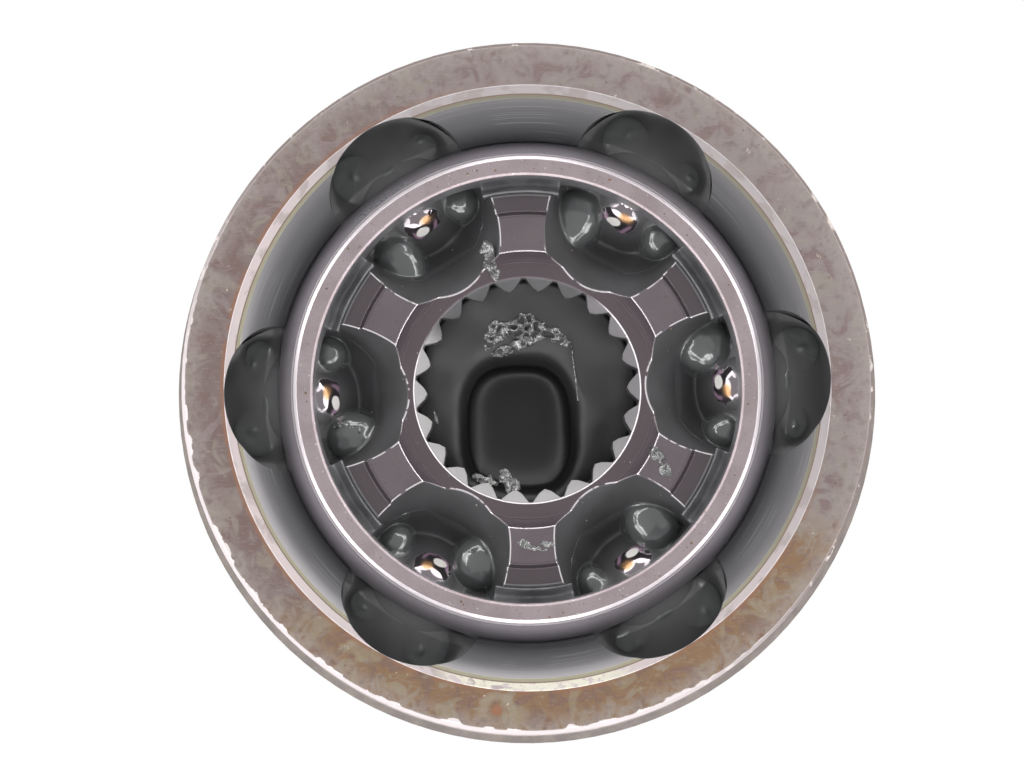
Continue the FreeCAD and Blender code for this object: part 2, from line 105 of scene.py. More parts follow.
back = Vector((0, -math.sin(CAMERA_TILT), math.cos(CAMERA_TILT)))
north = Vector((0, math.cos(CAMERA_TILT), math.sin(CAMERA_TILT)))
east = Vector((1, 0, 0))
right = math.cos(CAMERA_ROLL) * east - math.sin(CAMERA_ROLL) * north
up = math.sin(CAMERA_ROLL) * east + math.cos(CAMERA_ROLL) * north
camera_data = bpy.data.cameras.new("camera")
camera_data.lens = LENS
camera_data.sensor_width = 36
camera_data.clip_start = 10 * MM
camera = bpy.data.objects.new("camera", camera_data)
bpy.context.scene.collection.objects.link(camera)
place = back * CAMERA_DISTANCE + right * CAMERA_ASIDE + up * CAMERA_UP
camera.matrix_world = Matrix.Translation(place) @ Matrix((right, up, back)).transposed().to_4x4()
bpy.context.scene.camera = camera
print("camera at", [round(v, 4) for v in place])

# %% [markdown]
# ## Writing materials as sums
#
# A procedural finish is mostly arithmetic: how far is this point from the axis, is it inside a track, how
# much rust is there. Wiring Math nodes by hand hides that. The first class below wraps a node socket, so
# that an expression such as `1 - mask * 0.5` adds its own nodes. The second adds any node to a tree: its
# settings go in first, then the values or links of its sockets. Materials, the sky and Geometry Nodes all
# use the two.

# %% Node sockets that do sums


class Value:
    """A number that varies over a surface."""

    def __init__(self, nodes, socket):
        self.nodes = nodes
        self.socket = socket

    def math(self, operation, *values):
        """A Math node on the values, or on this number alone when none are given."""
        return self.nodes.node("ShaderNodeMath", {"operation": operation}, dict(enumerate(values or (self,))))

    def __add__(self, other):
        return self.math("ADD", self, other)

    def __radd__(self, other):
        return self.math("ADD", other, self)

    def __sub__(self, other):
        return self.math("SUBTRACT", self, other)

    def __rsub__(self, other):
        return self.math("SUBTRACT", other, self)

    def __mul__(self, other):
        return self.math("MULTIPLY", self, other)

    def __rmul__(self, other):
        return self.math("MULTIPLY", other, self)

    def __truediv__(self, other):
        return self.math("DIVIDE", self, other)

    def __pow__(self, other):
        return self.math("POWER", self, other)

    def at_least(self, other):
        return self.math("MAXIMUM", self, other)

    def rises(self, low, high):
        """0 up to low, 1 from high on, and a smooth step between. With high below low it falls instead."""
        if high < low:
            return 1 - self.rises(high, low)
        values = {"Value": self, "From Min": low, "From Max": high}
        return self.nodes.node("ShaderNodeMapRange", {"interpolation_type": "SMOOTHSTEP"}, values)

    def within(self, low, high, soft):
        """1 between low and high, with both edges soft."""
        return self.rises(low - soft / 2, low + soft / 2) * self.rises(high + soft / 2, high - soft / 2)


def tone(red, green, blue):
    """A colour as a screen shows it, 0 to 255, turned to the linear values that a shader takes."""
    linear = [((v / 255 + 0.055) / 1.055) ** 2.4 if v > 10 else v / 255 / 12.92 for v in (red, green, blue)]
    return (*linear, 1.0)


class Nodes:
    """A node tree, emptied and written again."""

    def __init__(self, tree):
        self.tree = tree
        self.tree.nodes.clear()

    def node(self, kind, settings=None, values=None, output=0):
        """Add a node, with its settings first and then what its sockets hold or are linked to."""
        node = self.tree.nodes.new(kind)
        for name, setting in (settings or {}).items():
            setattr(node, name, setting)
        for key, value in (values or {}).items():
            target = node.inputs[key] if isinstance(key, int) else self.find(node.inputs, key)
            if isinstance(value, Value):
                self.tree.links.new(value.socket, target)
            else:
                target.default_value = value
        if output is None:
            return node
        return Value(self, node.outputs[output])

    @staticmethod
    def find(sockets, key):
        """The socket with this identifier, or else with this name."""
        return next((s for s in sockets if s.identifier == key), None) or sockets[key]


# %% A finish is built up in layers


class Finish(Nodes):
    """A material that starts as one coat and is painted over where a mask is 1. Lengths in millimetres."""

    def __init__(self, name, colour, roughness, metallic):
        self.material = bpy.data.materials.new(name)
        self.material.use_nodes = True
        super().__init__(self.material.node_tree)
        self.colour = colour
        self.roughness = roughness
        self.metallic = metallic
        self.height = None
        self.position = self.node("ShaderNodeTexCoord", output="Object")
        apart = self.node("ShaderNodeSeparateXYZ", None, {0: self.position}, output=None)
        self.x, self.y, self.z = (Value(self, apart.outputs[k]) * (1 / MM) for k in range(3))
        self.r = (self.x * self.x + self.y * self.y) ** 0.5

    def mix(self, mask, first, second):
        """A colour between two others."""
        values = {"Factor_Float": mask, "A_Color": first, "B_Color": second}
        return self.node("ShaderNodeMix", {"data_type": "RGBA", "clamp_factor": True}, values, output=2)

    def between(self, mask, first, second):
        """A number between two others."""
        if isinstance(first, Value) or isinstance(second, Value):
            return mask * second + (1 - mask) * first
        return mask * (second - first) + first

    def noise(self, size, detail=3.0, roughness=0.5, stretch=(1, 1, 1), distortion=0.0):
        """Soft noise from 0 to 1, with blotches about as large as size, in millimetres."""
        point = self.node("ShaderNodeMapping", None, {"Vector": self.position, "Scale": stretch})
        values = {"Vector": point, "Scale": 1 / (size * MM), "Detail": detail, "Roughness": roughness}
        values["Distortion"] = distortion
        return self.node("ShaderNodeTexNoise", None, values)

    def turning(self, along, scale, detail):
        """Noise that changes along one length only, as the marks of a lathe tool do."""
        values = {"W": along, "Scale": scale, "Detail": detail}
        return self.node("ShaderNodeTexNoise", {"noise_dimensions": "1D"}, values)

    def cells(self, size):
        """Distance to the nearest of many random points about size apart."""
        return self.node("ShaderNodeTexVoronoi", None, {"Vector": self.position, "Scale": 1 / (size * MM)})

    def paint(self, mask, colour=None, roughness=None, metallic=None):
        """Lay a colour, a gloss or a metal over what is there, where the mask is 1."""
        if colour is not None:
            self.colour = self.mix(mask, self.colour, colour)
        if roughness is not None:
            self.roughness = self.between(mask, self.roughness, roughness)
        if metallic is not None:
            self.metallic = self.between(mask, self.metallic, metallic)

    def raise_by(self, height):
        """Add to the bump's height, in millimetres."""
        self.height = height if self.height is None else self.height + height

    def folded(self):
        """Each ball's sixth of the circle laid on the first: how far out a point is, and how far across."""
        turn = self.y.math("ARCTAN2", self.y, self.x) / BALL_STEP
        angle = (turn - turn.math("ROUND")) * BALL_STEP
        return self.r * angle.math("COSINE"), self.r * angle.math("SINE")

    def track_distance(self, offset):
        """How far a point lies from the middle line of the nearest ball track."""
        outwards, across = self.folded()
        rise = self.z - offset
        lane = (outwards * outwards + rise * rise) ** 0.5 - TRACK_ARC
        return (lane * lane + across * across) ** 0.5

    def done(self, bevel=None, specular=0.5, coat=None):
        """Wire the layers to the surface and return the material. bevel is the radius that its edges show."""
        values = {"Base Color": self.colour, "Roughness": self.roughness, "Metallic": self.metallic}
        values["Specular IOR Level"] = specular
        if coat:
            values |= {"Coat Weight": coat, "Coat Roughness": 0.07}
        normal = None
        if bevel:
            normal = self.node("ShaderNodeBevel", {"samples": 6}, {"Radius": bevel * MM})
        if self.height is not None:
            shape = {"Height": self.height, "Distance": MM}
            if normal:
                shape["Normal"] = normal
            normal = self.node("ShaderNodeBump", None, shape)
        if normal:
            values["Normal"] = normal
        surface = self.node("ShaderNodeBsdfPrincipled", None, values)
        self.node("ShaderNodeOutputMaterial", None, {"Surface": surface}, output=None)
        print(f"{self.material.name}: {len(self.tree.nodes)} nodes")
        return self.material


def wear(node, material):
    """Give a CAD node a material, in its own slots."""
    mesh = frame["nodes"][node].data
    for slot in range(len(mesh.materials)):
        mesh.materials[slot] = material


# %% [markdown]
# ## Old grease
#
# The grease in a joint like this is nearly black with molybdenum, and it films every track. It is a soft
# solid: a dark body colour, a broad gloss, and a skin that isn't quite smooth. The film on the steel and
# the lumps of the pack get the same coat, so its recipe is one function that any finish can call where its
# mask is 1.

# %% A coat of grease
GREASE_TONE = tone(74, 74, 76)
GREASE_DEEP = tone(62, 62, 63)
GREASE_THIN = tone(104, 104, 105)


def coat_with_grease(finish, mask, gloss=0.0):
    """Paint grease where the mask is 1: dark and less dark in slow waves, thin and paler outside the cage,
    and wet where gloss is 1."""
    slow = finish.noise(5.0, 2.0, 0.4)
    colour = finish.mix(slow.rises(0.3, 0.7), GREASE_DEEP, GREASE_TONE)
    colour = finish.mix(finish.r.rises(27.0, 29.0), colour, GREASE_THIN)
    finish.paint(mask, colour, finish.between(gloss, 0.5, 0.14), 0.0)
    finish.raise_by(mask * finish.noise(1.6, 2.0) * 0.02)


# %% [markdown]
# ## The race
#
# The race in the middle is case-hardened steel, turned, and then ground where it slides. Its front is a set
# of steps: a recessed hub round the spline, a short cone, a land, a shallow groove and an outer land. The
# hub and the outer land lie lower and are painted darker, and the groove and the corner at the foot of the
# cone are painted dark, all as painted shade. Thin bright lines on the edges are painted highlights. The
# sphere beyond the front edge is painted paler outwards, and the tooth ends paler to the lower left, both as
# painted light. Grease fills the bore below the tooth ends and films the six tracks.

# %% Race
HUB_RADIUS = 14.25
CONE_RADIUS = 15.3
GROOVE_INNER = 18.9
GROOVE_OUTER = 19.9
FRONT_EDGE_RADIUS = 21.4
TOOTH_TOP = 8.3
BORE_RADIUS = 12.5


def race_steel():
    """The steps of the front from the outside in, the teeth, and grease in the bore and the tracks."""
    finish = Finish("race_steel_satin", tone(102, 94, 98), 0.36, 0.85)
    front = finish.z.rises(7.6, 8.6)
    cloud = finish.noise(6.0, 4.0, 0.6)
    finish.paint(cloud.rises(0.35, 0.65) * 0.55, tone(92, 84, 89))
    # Painted shade: the outer land and the recessed hub, which lie lower than the land, are painted darker.
    outer_land = front * finish.r.rises(GROOVE_OUTER - 0.3, GROOVE_OUTER)
    finish.paint(outer_land * 0.8, tone(74, 68, 71))
    hub = front * finish.r.rises(HUB_RADIUS, HUB_RADIUS - 0.1)
    finish.paint(hub * 0.8, tone(84, 75, 79))
    # Painted shade: a dark line in the corner at the foot of the cone.
    corner = front * finish.r.within(HUB_RADIUS - 0.12, HUB_RADIUS + 0.1, 0.08)
    finish.paint(corner * 0.8, tone(70, 62, 64), 0.5)
    # Painted highlight: a thin bright line on the edge where the cone meets the land.
    edge = finish.r.within(CONE_RADIUS - 0.06, CONE_RADIUS + 0.08, 0.06)
    finish.paint(front * edge, tone(196, 188, 192), 0.25)
    # Painted shade: a dark band along the groove between the land and the outer land.
    groove = finish.r.within(GROOVE_INNER + 0.175, GROOVE_OUTER - 0.175, 0.35)
    finish.paint(front * groove * 0.75, tone(72, 66, 69), 0.45)
    specks = finish.noise(0.5, 2.0).rises(0.64, 0.72)
    finish.paint(front * specks * 0.5, tone(80, 70, 72), 0.5)
    # Painted light: the sphere beyond the front edge, deep in the gap to the cage, goes from grey to nearly white
    # outwards.
    sphere = finish.r.rises(FRONT_EDGE_RADIUS, FRONT_EDGE_RADIUS + 0.2)
    shade = finish.mix(finish.r.rises(FRONT_EDGE_RADIUS, 23.4), tone(120, 120, 122), tone(236, 236, 238))
    finish.paint(sphere * front, shade, 0.4, 0.1)
    inside = finish.r.rises(BORE_RADIUS, BORE_RADIUS - 0.1)
    # Painted light: the tooth ends are paler towards the lower left; at the top they are smeared with grease.
    low_left = (finish.x * -0.7 - finish.y * 0.7) / 12.0
    teeth_painted_light = finish.mix(low_left.rises(-0.8, 0.8), tone(112, 109, 112), tone(164, 162, 162))
    finish.paint(inside * finish.z.rises(TOOTH_TOP - 0.4, TOOTH_TOP), teeth_painted_light, 0.55, 0.2)
    high = (finish.y * 0.98 - finish.x * 0.2) / finish.r
    smeared = high.rises(0.62, 0.8) * finish.r.rises(BORE_RADIUS + 0.1, BORE_RADIUS - 0.2)
    # Painted highlight: a bright line round the bore's edge, left out at the top.
    lip = front * finish.r.within(BORE_RADIUS - 0.02, BORE_RADIUS + 0.14, 0.06)
    finish.paint(lip * (1 - high.rises(0.4, 0.7)), tone(214, 208, 211), 0.3)
    bore = inside * finish.z.rises(TOOTH_TOP, TOOTH_TOP - 0.4)
    distance = finish.track_distance(-TRACK_OFFSET)
    wall = distance.rises(TRACK_RADIUS + 0.07, TRACK_RADIUS + 0.02)
    coat_with_grease(finish, bore.at_least(wall).at_least(smeared))
    # Painted highlight: broken bright lines along the edges of the tracks.
    track_edge = distance.within(TRACK_RADIUS + 0.06, TRACK_RADIUS + 0.17, 0.05)
    broken = finish.noise(1.5, 2.0).rises(0.38, 0.46)
    finish.paint(track_edge * front * broken, tone(226, 220, 224), 0.25)
    finish.raise_by(front * finish.turning(finish.r, 6.0, 3.0) * 0.012 + finish.noise(0.18, 2.0) * 0.004)
    return finish.done(bevel=0.14)


wear("inner_race", race_steel())

# %% [markdown]
# ## The cage
#
# The cage is a ring with six windows, hardened and ground. Its front face has a brownish bloom with fine
# pits and a few rust specks, and small pale specks painted on as glints. The narrow cone round the face
# carries a painted highlight: a bright band, then a thin dark line and paler grey beyond. The outside is
# part of a sphere, painted bright where it meets the face and darker further down, as painted light and
# shade.

# %% Cage
CAGE_BORE_RADIUS = 23.5
CAGE_LEAD = 25.28  # where the front face meets the narrow cone round it, painted bright as a highlight


def cage_steel():
    """The front face with its bloom, pits and specks, the cone round it, the bore and the outside."""
    finish = Finish("cage_steel_satin", tone(152, 141, 144), 0.36, 0.85)
    front = finish.z.rises(CAGE_TOP - 0.5, CAGE_TOP - 0.3)
    cloud = finish.noise(4.0, 4.0, 0.6)
    finish.paint(front * cloud.rises(0.4, 0.7) * 0.6, tone(134, 121, 123))
    pits = finish.noise(0.4, 2.0).rises(0.6, 0.7)
    finish.paint(front * pits * 0.45, tone(124, 110, 110), 0.5)
    # Painted highlight: small pale specks, as glints on the face.
    shine = finish.noise(0.5, 2.0, 0.5).rises(0.66, 0.74)
    finish.paint(front * shine * 0.4, tone(225, 218, 220), 0.3)
    rust = finish.noise(2.6, 3.0, 0.6).rises(0.7, 0.73)
    finish.paint(front * rust * 0.8, tone(122, 92, 66), 0.6, 0.2)
    # Painted highlight on the cone round the face: a bright band, then a thin dark line and paler grey beyond.
    lead = finish.r.rises(CAGE_LEAD - 0.02, CAGE_LEAD + 0.04)
    lead *= finish.z.rises(CAGE_TOP - 0.36, CAGE_TOP - 0.3)
    finish.paint(lead, tone(214, 207, 211), 0.24, 0.6)
    finish.paint(lead * finish.r.rises(CAGE_LEAD + 0.36, CAGE_LEAD + 0.44), tone(150, 144, 148), 0.4, 0.3)
    line = finish.r.within(CAGE_LEAD + 0.36, CAGE_LEAD + 0.46, 0.05)
    finish.paint(lead * line * 0.8, tone(84, 78, 82), 0.4)
    # Painted light and shade: the outside is paler near the face and darker further down.
    outside = (1 - front) * finish.r.rises(CAGE_BORE_RADIUS + 0.3, CAGE_BORE_RADIUS + 0.6)
    low = finish.z.rises(CAGE_TOP, CAGE_TOP - 6.0)
    finish.paint(outside, finish.mix(low, tone(206, 198, 206), tone(160, 156, 162)), 0.34, 0.45)
    finish.paint((1 - front) * (1 - outside), tone(140, 138, 142), 0.35, 0.3)
    rubbed = ((finish.y * 0.81 - finish.x * 0.59) / finish.r).rises(0.987, 0.996) * outside
    scratched = finish.noise(0.8, 3.0, 0.6, stretch=(1, 3, 1)).rises(0.48, 0.58)
    finish.paint(rubbed * scratched * (1 - low.rises(0.2, 0.5)) * 0.8, tone(214, 218, 230), 0.25)
    finish.raise_by(finish.noise(0.22, 2.0) * 0.004)
    return finish.done(bevel=0.16)


wear("cage", cage_steel())

# %% [markdown]
# ## The bell
#
# The bell is a forging. Its mouth was turned, and its sphere and tracks were ground after hardening. The
# end face has stood in the air for years: grey oxide on one side, brown on another, and ochre stains where
# salt water lay. Its inner edge carries a thin line of rust. The chamfer inside is pale, partly as clean steel
# and partly as painted highlight, with a painted highlight near white at the bottom. The little step next to
# it has turned olive, and further in the flare is smooth grey steel, painted darker towards its foot as
# painted shade. The land, the rim and the flare are painted paler to the south-west, and the chamfer and
# the olive step paler to the left, as painted light.

# %% Bell
FLARE_FOOT = 28.0
FLARE_EDGE = 31.4
STEP_EDGE = 31.85
CHAMFER_EDGE = 32.65
FACE_EDGE = 36.9
DRIP_PLACE = (-4.4, -34.6)
DRIP_RADIUS = 0.8
print(f"end face: {FACE_EDGE - CHAMFER_EDGE:.2f} mm wide")

# %% Oxide on the end face


def oxidise(finish, face):
    """The old skin of the end face."""
    south = (finish.y * -1).rises(2.0, 30.0)
    west = (finish.x * -1).rises(-6.0, 32.0)
    cloud = finish.noise(7.0, 5.0, 0.6, distortion=0.6)
    mottle = finish.noise(3.4, 5.0, 0.62, distortion=1.2)
    small = finish.noise(1.3, 4.0, 0.6)
    skin = finish.mix(west * 0.8 + (cloud - 0.5) * 1.2, tone(116, 106, 104), tone(94, 76, 72))
    ochre = (south * 1.35 + (cloud - 0.5) * 1.1 - west * 0.55).rises(0.4, 0.9)
    skin = finish.mix(ochre, skin, tone(110, 82, 52))
    skin = finish.mix(mottle.rises(0.5, 0.6) * 0.6, skin, tone(92, 68, 64))
    skin = finish.mix(mottle.rises(0.48, 0.38) * 0.6, skin, tone(122, 114, 104))
    patches = finish.noise(4.2, 3.0, 0.55, distortion=0.8).rises(0.54, 0.6)
    skin = finish.mix(patches * 0.55, skin, finish.mix(south, tone(118, 106, 106), tone(124, 114, 92)))
    outer = finish.r.rises(34.4, 36.8) * small.rises(0.3, 0.55)
    skin = finish.mix(outer * 0.6, skin, tone(136, 127, 122))
    skin = finish.mix(small.rises(0.5, 0.7) * 0.4, skin, tone(82, 66, 60))
    streaks = finish.noise(1.2, 3.0, 0.6, stretch=(1, 5, 1)).rises(0.54, 0.68)
    skin = finish.mix(streaks * 0.22, skin, tone(140, 128, 124))
    finish.paint(face, skin, 0.52, 0.2)
    aside, above = finish.x - DRIP_PLACE[0], finish.y - DRIP_PLACE[1]
    far = (aside**2.0 + above**2.0) ** 0.5 + (small - 0.5) * 0.9
    halo = far.within(DRIP_RADIUS * 1.3, DRIP_RADIUS * 2.6, 0.6) * above.rises(-1.6, 0.4)
    finish.paint(face * halo * 0.55, tone(134, 124, 106), 0.5, 0.2)
    finish.paint(face * far.rises(DRIP_RADIUS, DRIP_RADIUS - 0.4) * 0.8, tone(128, 78, 46), 0.5, 0.1)
    line = finish.r.rises(33.3, 32.8) * finish.noise(2.4, 3.0).rises(0.35, 0.5)
    finish.paint(face * line * south.at_least(west) * 0.8, tone(118, 76, 50), 0.55, 0.1)
    chips = finish.noise(0.9, 3.0, 0.6).rises(0.68, 0.73) * finish.r.rises(36.4, 33.4)
    finish.paint(face * chips, tone(176, 164, 156), 0.4)
    pits = finish.cells(1.1).rises(0.14, 0.06) * finish.noise(2.5).rises(0.5, 0.6)
    finish.paint(face * pits * 0.7, tone(84, 58, 46), 0.6, 0.0)
    finish.raise_by(face * (small * 0.03 - pits * 0.06))


# %% The land round the mouth, the forged bowl and the stub
LAND_FOOT = 3.4  # the land that takes the boot is turned down to here
FORGED_FROM = 12.0  # the skin is as it was forged outside this radius
JOURNAL_END = BEARING_FACE - 10.2


def turned_land(finish):
    """A mask of the land and its groove."""
    outside = finish.r.rises(SEAT_RADIUS - 1.0, SEAT_RADIUS - 0.9)
    return outside * finish.z.rises(LAND_FOOT - 0.2, LAND_FOOT + 0.2)


def machine_stub(finish):
    """The bowl as it was forged, and the stub below it: a ground journal, a rolled spline and a thread."""
    bowl = finish.z.rises(LAND_FOOT + 0.2, LAND_FOOT - 0.2) * finish.r.rises(FORGED_FROM, FORGED_FROM + 0.5)
    scale = finish.noise(2.4, 5.0, 0.65)
    finish.paint(bowl, finish.mix(scale.rises(0.35, 0.65), tone(96, 89, 86), tone(114, 105, 100)), 0.62, 0.4)
    finish.raise_by(bowl * scale * 0.12)
    marks = finish.turning(finish.z, 5.0, 3.0)
    finish.raise_by(turned_land(finish) * marks * 0.02)
    stub = finish.z.rises(BEARING_FACE + 0.3, BEARING_FACE + 0.1)
    finish.paint(stub, finish.mix(marks, tone(158, 154, 152), tone(182, 178, 176)), 0.28, 0.9)
    finish.raise_by(stub * marks * 0.01)
    roots = finish.z.rises(JOURNAL_END + 0.2, JOURNAL_END - 0.2) * finish.r.rises(12.0, 11.0)
    finish.paint(roots, tone(112, 96, 84), 0.45, 0.7)
    below_crests = finish.r.rises(THREAD_RADIUS + 0.12, THREAD_RADIUS + 0.06)
    finish.paint(finish.z.rises(THREAD_START, THREAD_START - 0.4) * below_crests, tone(96, 90, 86), 0.4)
    rust = finish.noise(5.0, 5.0, 0.65).rises(0.58, 0.66) * finish.z.rises(2.0, 0.0)
    finish.paint(rust * 0.7, tone(116, 84, 62), 0.65, 0.1)


# %% The bell's finish


def bell_steel():
    """From the outside in: land, rim, end face, chamfer, rusty step, flare, and grease in the tracks."""
    finish = Finish("bell_steel_weathered", tone(160, 150, 148), 0.46, 0.3)
    cloud = finish.noise(6.0, 5.0, 0.65)
    finish.paint(cloud.rises(0.35, 0.65) * 0.6, tone(140, 127, 124))
    machine_stub(finish)
    # Painted light: southwest makes the land, the rim and the flare paler to the south-west; it also makes the
    # face's outer edge more ragged there.
    southwest = (finish.x * -0.6 - finish.y * 0.8).rises(-6.0, 26.0)
    land = finish.mix(southwest, tone(160, 151, 149), tone(208, 199, 200))
    finish.paint(turned_land(finish), land, 0.4, 0.3)
    rim = finish.z.rises(MOUTH_TOP - 2.0, MOUTH_TOP - 1.6) * finish.r.rises(FACE_EDGE, FACE_EDGE + 0.1)
    dull = finish.mix(finish.noise(2.2, 4.0, 0.6).rises(0.55, 0.62), tone(112, 98, 94), tone(196, 186, 180))
    finish.paint(rim, finish.mix(southwest, dull, tone(206, 196, 198)), 0.45, 0.2)
    edge = FACE_EDGE - 0.55 * finish.noise(2.4, 4.0).rises(0.4, 0.7) * southwest
    mouth = (edge + 0.1 - finish.r).rises(0.0, 0.1) * finish.z.rises(-12.0, -10.0)
    face = mouth * finish.z.rises(MOUTH_TOP - 0.15, MOUTH_TOP - 0.05)
    oxidise(finish, face)
    inside = mouth * finish.r.rises(CHAMFER_EDGE + 0.05, CHAMFER_EDGE)
    # Painted shade and light: the flare is darker towards its foot and paler to the south-west.
    depth = finish.r.rises(FLARE_FOOT + 1.6, FLARE_EDGE)
    lit = finish.mix(southwest, tone(132, 131, 132), tone(186, 184, 186))
    finish.paint(inside, finish.mix(depth * depth, tone(108, 108, 110), lit), 0.42, 0.3)
    arcs = finish.turning(finish.r, 7.0, 2.0).rises(0.56, 0.66) * finish.noise(9.0, 2.0).rises(0.45, 0.6)
    finish.paint(inside * arcs * 0.35, tone(186, 185, 188), 0.35)
    # The chamfer: pale steel, partly painted highlight, paler to the left as painted light, with a painted
    # highlight near white at the bottom.
    chamfer = inside * finish.r.rises(STEP_EDGE, STEP_EDGE + 0.06)
    left = (finish.x * -1 - finish.y).rises(-30.0, 20.0)
    finish.paint(chamfer, finish.mix(left, tone(190, 183, 184), tone(222, 210, 210)), 0.35, 0.3)
    finish.paint(chamfer * finish.noise(3.0, 3.0).rises(0.52, 0.62) * 0.5, tone(158, 146, 142), 0.4)
    lowest = (finish.y / finish.r * -1).rises(0.93, 0.98) * finish.noise(1.0, 3.0).rises(0.4, 0.5)
    finish.paint(chamfer * lowest, tone(246, 243, 226), 0.3)
    # Painted light: the olive step is paler to the left.
    olive = inside * finish.r.within(FLARE_EDGE + 0.04, STEP_EDGE - 0.04, 0.08)
    finish.paint(olive, finish.mix(left, tone(122, 118, 102), tone(148, 144, 122)), 0.5, 0.1)
    step_line = inside * finish.r.within(STEP_EDGE - 0.06, STEP_EDGE + 0.06, 0.05)
    finish.paint(step_line, tone(116, 94, 80), 0.5, 0.1)
    wall = finish.track_distance(TRACK_OFFSET).rises(TRACK_RADIUS + 0.07, TRACK_RADIUS + 0.02)
    coat_with_grease(finish, wall * finish.z.rises(-30.0, -28.0))
    finish.raise_by(finish.noise(0.3, 3.0) * 0.006)
    return finish.done(bevel=0.16)


bell_finish = bell_steel()
wear("outer_race", bell_finish)

# %% [markdown]
# ## Balls
#
# A bearing ball is a mirror, but here each one is filmed with grease. Bare steel shows only in a small
# window that the cage has wiped, on the side towards the axis. In it a gold patch, a purple crescent and a
# white glint are painted on, as painted reflections and a painted highlight. All six balls share one
# material: their place is folded onto the first ball, so that the wiped window sits alike on each, and noise
# makes its edge different.

# %% Balls
WIPE_LEAN = math.radians(39)  # from the joint's axis, at the ball's centre
WIPE_SIZE = 2.1


def ball_steel():
    """Bare steel in the wiped window, with painted reflections and a painted highlight there, and grease over the
    rest.
    """
    finish = Finish("ball_steel_filmed", tone(128, 122, 126), 0.05, 1.0)
    outwards, across = finish.folded()
    out = outwards - (PITCH_RADIUS - BALL_RADIUS * math.sin(WIPE_LEAN))
    rise = finish.z - BALL_RADIUS * math.cos(WIPE_LEAN)
    ripple = finish.noise(1.1, 2.0) - 0.5
    # Painted reflections and a painted highlight in the wiped window: a gold patch, a purple crescent and a white
    # glint.
    gold = ((out - 0.3) ** 2.0 * 2.5 + (across + 0.7) ** 2.0) ** 0.5 + ripple * 0.8
    finish.paint(gold.rises(1.15, 0.3), tone(168, 128, 88), 0.2, 0.6)
    crescent = ((out - 0.3) ** 2.0 + across * across) ** 0.5 + ripple * 0.5
    finish.paint(crescent.within(1.35, 1.75, 0.3) * out.rises(0.2, -0.4), tone(176, 142, 168), 0.2, 0.4)
    glint = ((out + 0.5) ** 2.0 * 4.0 + (across - 0.45) ** 2.0) ** 0.5 + ripple * 0.5
    finish.paint(glint.rises(0.95, 0.7), tone(246, 243, 238), 0.12, 0.0)
    far = (out * out + across * across + rise * rise) ** 0.5 + (finish.noise(1.8, 3.0) - 0.5) * 2.0
    coat_with_grease(finish, far.rises(WIPE_SIZE - 0.2, WIPE_SIZE + 0.2))
    return finish.done()


ball_finish = ball_steel()
for number in range(1, BALL_COUNT + 1):
    wear(f"ball_{number}", ball_finish)

# %% [markdown]
# ## Wire and grease
#
# The snap ring is drawn wire. The grease has three looks: wet lumps round the balls, a matt plug in the
# bore, and a thin film between race and cage. A drop's outline is known to the mesh and not to the
# material, so each wet piece carries a number at every point, called wet, that the material reads.

# %% Wire and grease


def wire_steel():
    finish = Finish("wire_drawn", tone(120, 118, 118), 0.35, 0.8)
    finish.paint(finish.noise(2.0).rises(0.4, 0.6) * 0.6, tone(90, 86, 84))
    return finish.done()


def wet_grease():
    """Grease that is paler and coated with oil where its piece says that it is wet."""
    finish = Finish("grease_wet", GREASE_TONE, 0.3, 0.0)
    wet = finish.node("ShaderNodeAttribute", {"attribute_name": "wet"}, output=2)
    coat_with_grease(finish, finish.noise(3.0).rises(0.0, 0.01), wet)
    finish.paint(wet * 0.75, tone(96, 100, 99))
    return finish.done(coat=wet)


def bore_grease():
    """The grease in the bore: painted shade, darkest deep in the hole, and painted light, palest at the top of its
    front.
    """
    finish = Finish("grease_bore", tone(26, 26, 27), 0.4, 0.0)
    # Painted shade and light: darkest low in the hole, paler higher up, palest at the top of the front.
    finish.paint(finish.z.rises(1.5, 3.0), tone(38, 38, 39))
    finish.paint(finish.z.rises(1.5, 4.0) * finish.y.rises(2.0, 11.5), tone(46, 46, 47))
    finish.raise_by(finish.noise(2.0, 2.0) * 0.03)
    return finish.done(specular=0.3)


def seam_grease():
    """A thin film of grease, painted pale: painted light in the deep gap between race and cage."""
    finish = Finish("grease_thin", tone(132, 132, 134), 0.35, 0.0)
    finish.paint(finish.noise(3.0).rises(0.4, 0.6), tone(112, 112, 114))
    return finish.done()


wear("snap_ring", wire_steel())
grease_finish = wet_grease()
bore_finish = bore_grease()
seam_finish = seam_grease()
wear("grease_pack", grease_finish)

# %% [markdown]
# ## Grease as a height field
#
# Grease settles like a thick liquid: it fills corners, rounds edges and leaves a soft hollow where it meets
# a wall. A height field does that with little code. Every form in it is a height over the same plane, and a
# smooth maximum joins them with a fillet. Its underside sinks into the steel, where it doesn't show. Waves
# of random direction, added up, give the fine relief; a fixed seed makes them the same each time.

# %% Heights


def smooth_max(first, second, blend):
    """The larger of two heights, with a fillet where they meet."""
    share = np.clip(0.5 + 0.5 * (first - second) / blend, 0, 1)
    return second + (first - second) * share + blend * share * (1 - share)


WAVE_COUNT = 28


def waves(x, y, size, seed):
    """Random relief, mostly from -1 to 1, with bumps about as large as size."""
    random = np.random.default_rng(seed)
    total = np.zeros_like(x)
    for _ in range(WAVE_COUNT):
        direction, phase = random.uniform(0, math.tau, 2)
        pitch = math.tau / (size * random.uniform(0.9, 2.6))
        total += np.sin((x * math.cos(direction) + y * math.sin(direction)) * pitch + phase)
    return total / math.sqrt(WAVE_COUNT)


